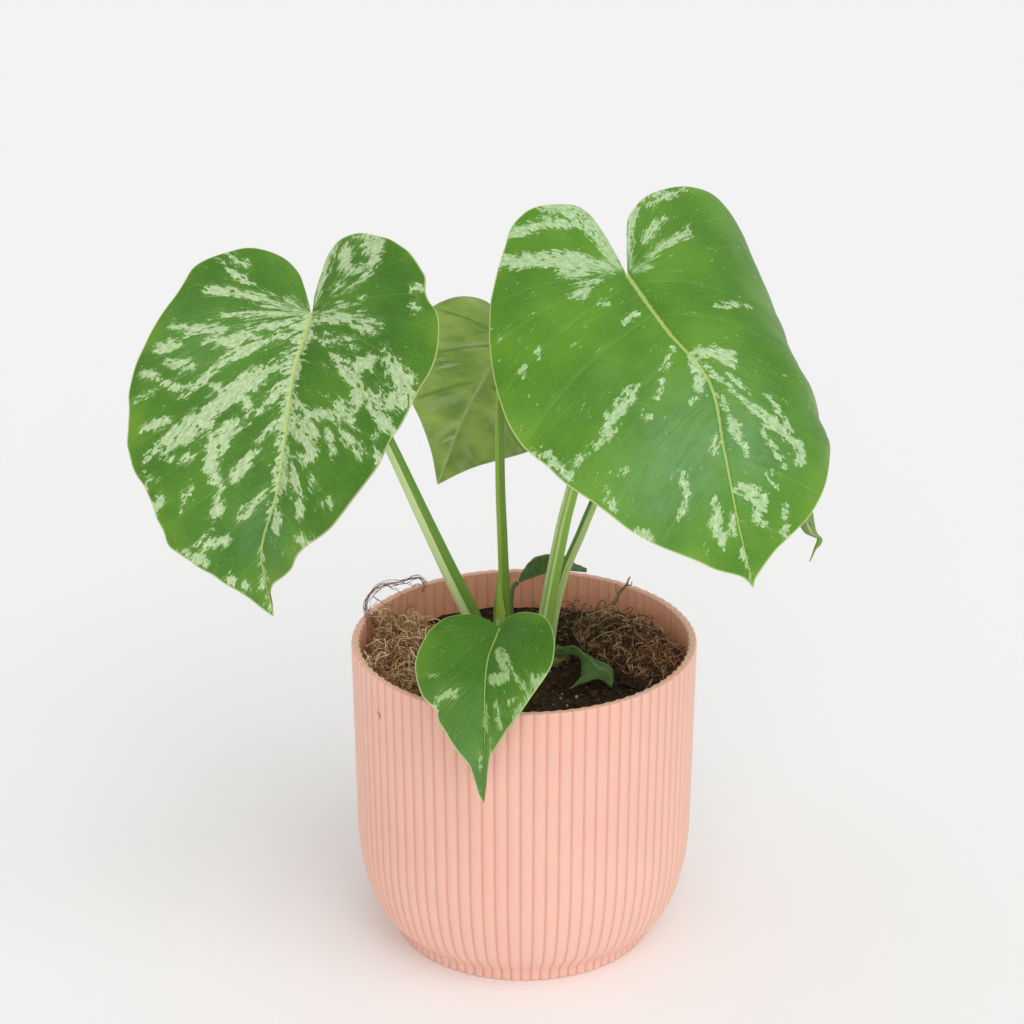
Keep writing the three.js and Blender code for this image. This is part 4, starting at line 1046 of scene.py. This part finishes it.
CURLED_RAILS = [
    [[-2, 42, 156.3], [5, 38, 161], [11, 39, 162.5], [17, 43, 162], [23, 49, 159], [30, 59, 154]],
    [[-2, 42.5, 157.5], [4, 45, 166], [12, 48, 167.5], [19, 52, 165], [24, 56, 160], [30, 60, 155]],
    [[-2, 43.2, 156.6], [3, 52, 162], [11, 57, 163], [18, 60, 161], [24, 61, 157], [30, 60.8, 154]],
]
YOUNG_RAILS = [
    [[15, 10.2, 132.4], [24, 4, 136], [27, -4, 134.5], [25, -14, 132.5], [21, -22, 131.5],
     [27, -18, 132.5], [33, -16, 133.5], [37, -19, 133.5], [39.5, -24, 133]],
    [[15, 12, 135.5], [23, 8, 139.5], [28, 2, 138.5], [34, -4, 137.5], [38, -7, 137],
     [40.5, -12, 137], [41, -16, 136], [41, -20, 134.5], [40.2, -24, 133.5]],
]
ROOT_LOOP = [[-70, 17, 144], [-74, 21, 150], [-74, 25, 154], [-71, 29, 157.5], [-66, 34, 159],
             [-58, 42, 156.5], [-50, 50, 155], [-47.5, 53, 151], [-48.5, 53, 147]]
# Path, count, spread, radius, seed, steps
ROOTS = [
    (ROOT_LOOP, 5, 0.95, 0.2, 61, 60),
    (ROOT_LOOP, 4, 1.7, 0.12, 62, 60),
    ([[-71, 27, 156], [-66, 26, 153], [-62, 28, 150]], 2, 0.4, 0.16, 63, 24),
    ([[-66, 34, 159], [-60, 36, 155], [-56, 36, 151]], 2, 0.5, 0.14, 64, 24),
    ([[-58, 42, 156.5], [-53, 42, 155], [-49, 46, 153.5]], 2, 0.5, 0.14, 65, 24),
    ([[-73, 22, 151], [-71, 20, 154], [-68, 22, 156.4]], 2, 0.5, 0.14, 66, 24),
]
TWIGS = [
    ([[42, 38, 147], [45, 42, 149], [48, 46, 152.5], [51, 50, 155.5]], 3, 0.35, 0.6, 71, 30),
    ([[45, 42, 149], [44, 44, 152], [44.5, 46, 154]], 1, 0.2, 0.35, 72, 20),
    ([[48, 46, 152.5], [50.5, 46.5, 153], [52, 47, 154.5]], 1, 0.2, 0.3, 73, 20),
]


def small_leaf(name, rails, rows, columns, node, look, ridge):
    """A small leaf as a sheet between rails, with its veins."""
    u = np.linspace(0, 1, rows)
    t = np.linspace(0, 1, columns)
    lines = np.array([spline(rail, u * (len(rail) - 1)) for rail in rails])
    points = np.stack([spline(lines[:, i], t * (len(rails) - 1)) for i in range(rows)])
    normal = unit(np.cross(np.gradient(points, axis=1), np.gradient(points, axis=0)))
    u = u[:, None] + 0 * t
    veins = np.cos(u * 60 + 6 * np.abs(t - 0.5))
    lift = 0.12 * veins * np.sin(math.pi * t) + 0.2 * ripples(points, 9, 5)
    rib = bell(t - ridge, 0.04) + 0 * u
    edge = np.minimum(t, 1 - t) + 0 * u
    body = 0.15 + 0.3 * smooth(0, 0.15, edge)
    values = {"rib": rib, "edge": edge, "vein": np.stack([u, t + 0 * u, 0 * u], -1)}
    parts = [(points + normal * (lift + rise)[..., None], grid_faces(rows, columns, flip=flip), 0, values)
             for rise, flip in ((body - 0.2 * rib, False), (-body - 0.4 * rib, True))]
    piece(name, parts, node, [look])


def wiry(path, count, spread, radius, seed, steps):
    """Thin strands that keep near a path and cross one another."""
    own = np.random.default_rng(seed)
    line = even_path(path, steps)
    t = np.linspace(0, 1, steps)
    sides = 6
    paths = []
    for _ in range(count):
        offset = np.stack([np.sin(t * own.uniform(4, 15) + own.uniform(0, 6.3)) for _ in range(3)], 1)
        offset = offset * spread * own.uniform(0.5, 1.3)
        paths.append(line + offset + ripples(line, 5, int(own.integers(999)))[:, None] * 0.2)
    radii = own.uniform(radius * 0.6, radius * 1.2, count)[:, None] * (1 - 0.4 * t)
    points, faces = tubes(paths, radii, sides, unit(own.normal(size=(count, 3))))
    return points, faces, 0, {"shade": np.repeat(own.uniform(0, 1, count), steps * sides)}


def make_fine_things():
    """The two small dark leaves, the aerial root and the twig."""
    dark = dark_leaf_look()
    small_leaf("curled_leaf", CURLED_RAILS, 90, 36, "blade_curled", dark, 0.5)
    small_leaf("young_leaf", YOUNG_RAILS, 120, 34, "blade_young", dark, 0.8)
    wood = strand_look("root_wood", (84, 60, 46), (124, 94, 72), (164, 132, 102), (98, 74, 58))
    piece("root_strands", [wiry(*root) for root in ROOTS], "root_loop", [wood])
    piece("twig_bits", [wiry(*twig) for twig in TWIGS], "twig", [wood])


# ---- stage

CAMERA_AT = (-0.00556, -1.2552, 0.7344)
CAMERA_TILT = 67.33
CAMERA_LENS = 105.12
FLOOR_SIZE = 14.0
LAMPS = (("key", (0.62, -0.8, 1.4), 45, 0.75), ("front", (0.1, -1.0, 0.34), 60, 0.75))


def make_stage():
    """Pale floor, pale room, two soft lamps and the photo's camera."""
    mesh = bpy.data.meshes.new("floor")
    half = FLOOR_SIZE / 2
    mesh.from_pydata([(-half, -half, 0), (half, -half, 0), (half, half, 0), (-half, half, 0)], [], [(0, 1, 2, 3)])
    mesh.materials.append(Look("pale_floor", 0.75, 0.2).done((248, 249, 250)))
    floor = add("floor", mesh)

    world = bpy.data.worlds.new("pale_room")
    world.use_nodes = True
    background = world.node_tree.nodes["Background"]
    background.inputs["Color"].default_value = (1.0, 0.995, 0.985, 1.0)
    background.inputs["Strength"].default_value = 0.69
    scene.world = world

    for name, place, spread, power in LAMPS:
        light = bpy.data.lights.new(name, "SUN")
        light.angle = math.radians(spread)
        light.energy = power
        light.color = (1.0, 0.99, 0.97)
        lamp = add(name, light)
        lamp.rotation_mode = "QUATERNION"
        lamp.rotation_quaternion = Vector(place).to_track_quat("Z", "Y")

    camera = bpy.data.cameras.new("camera")
    camera.sensor_width = 36
    camera.lens = CAMERA_LENS
    scene.camera = add("camera", camera)
    scene.camera.location = CAMERA_AT
    scene.camera.rotation_euler = (math.radians(CAMERA_TILT), 0, 0)


make_stage()
make_pot()
make_soil()
make_coir()
make_moss()
make_leaves()
make_stalks()
make_stem()
make_fine_things()
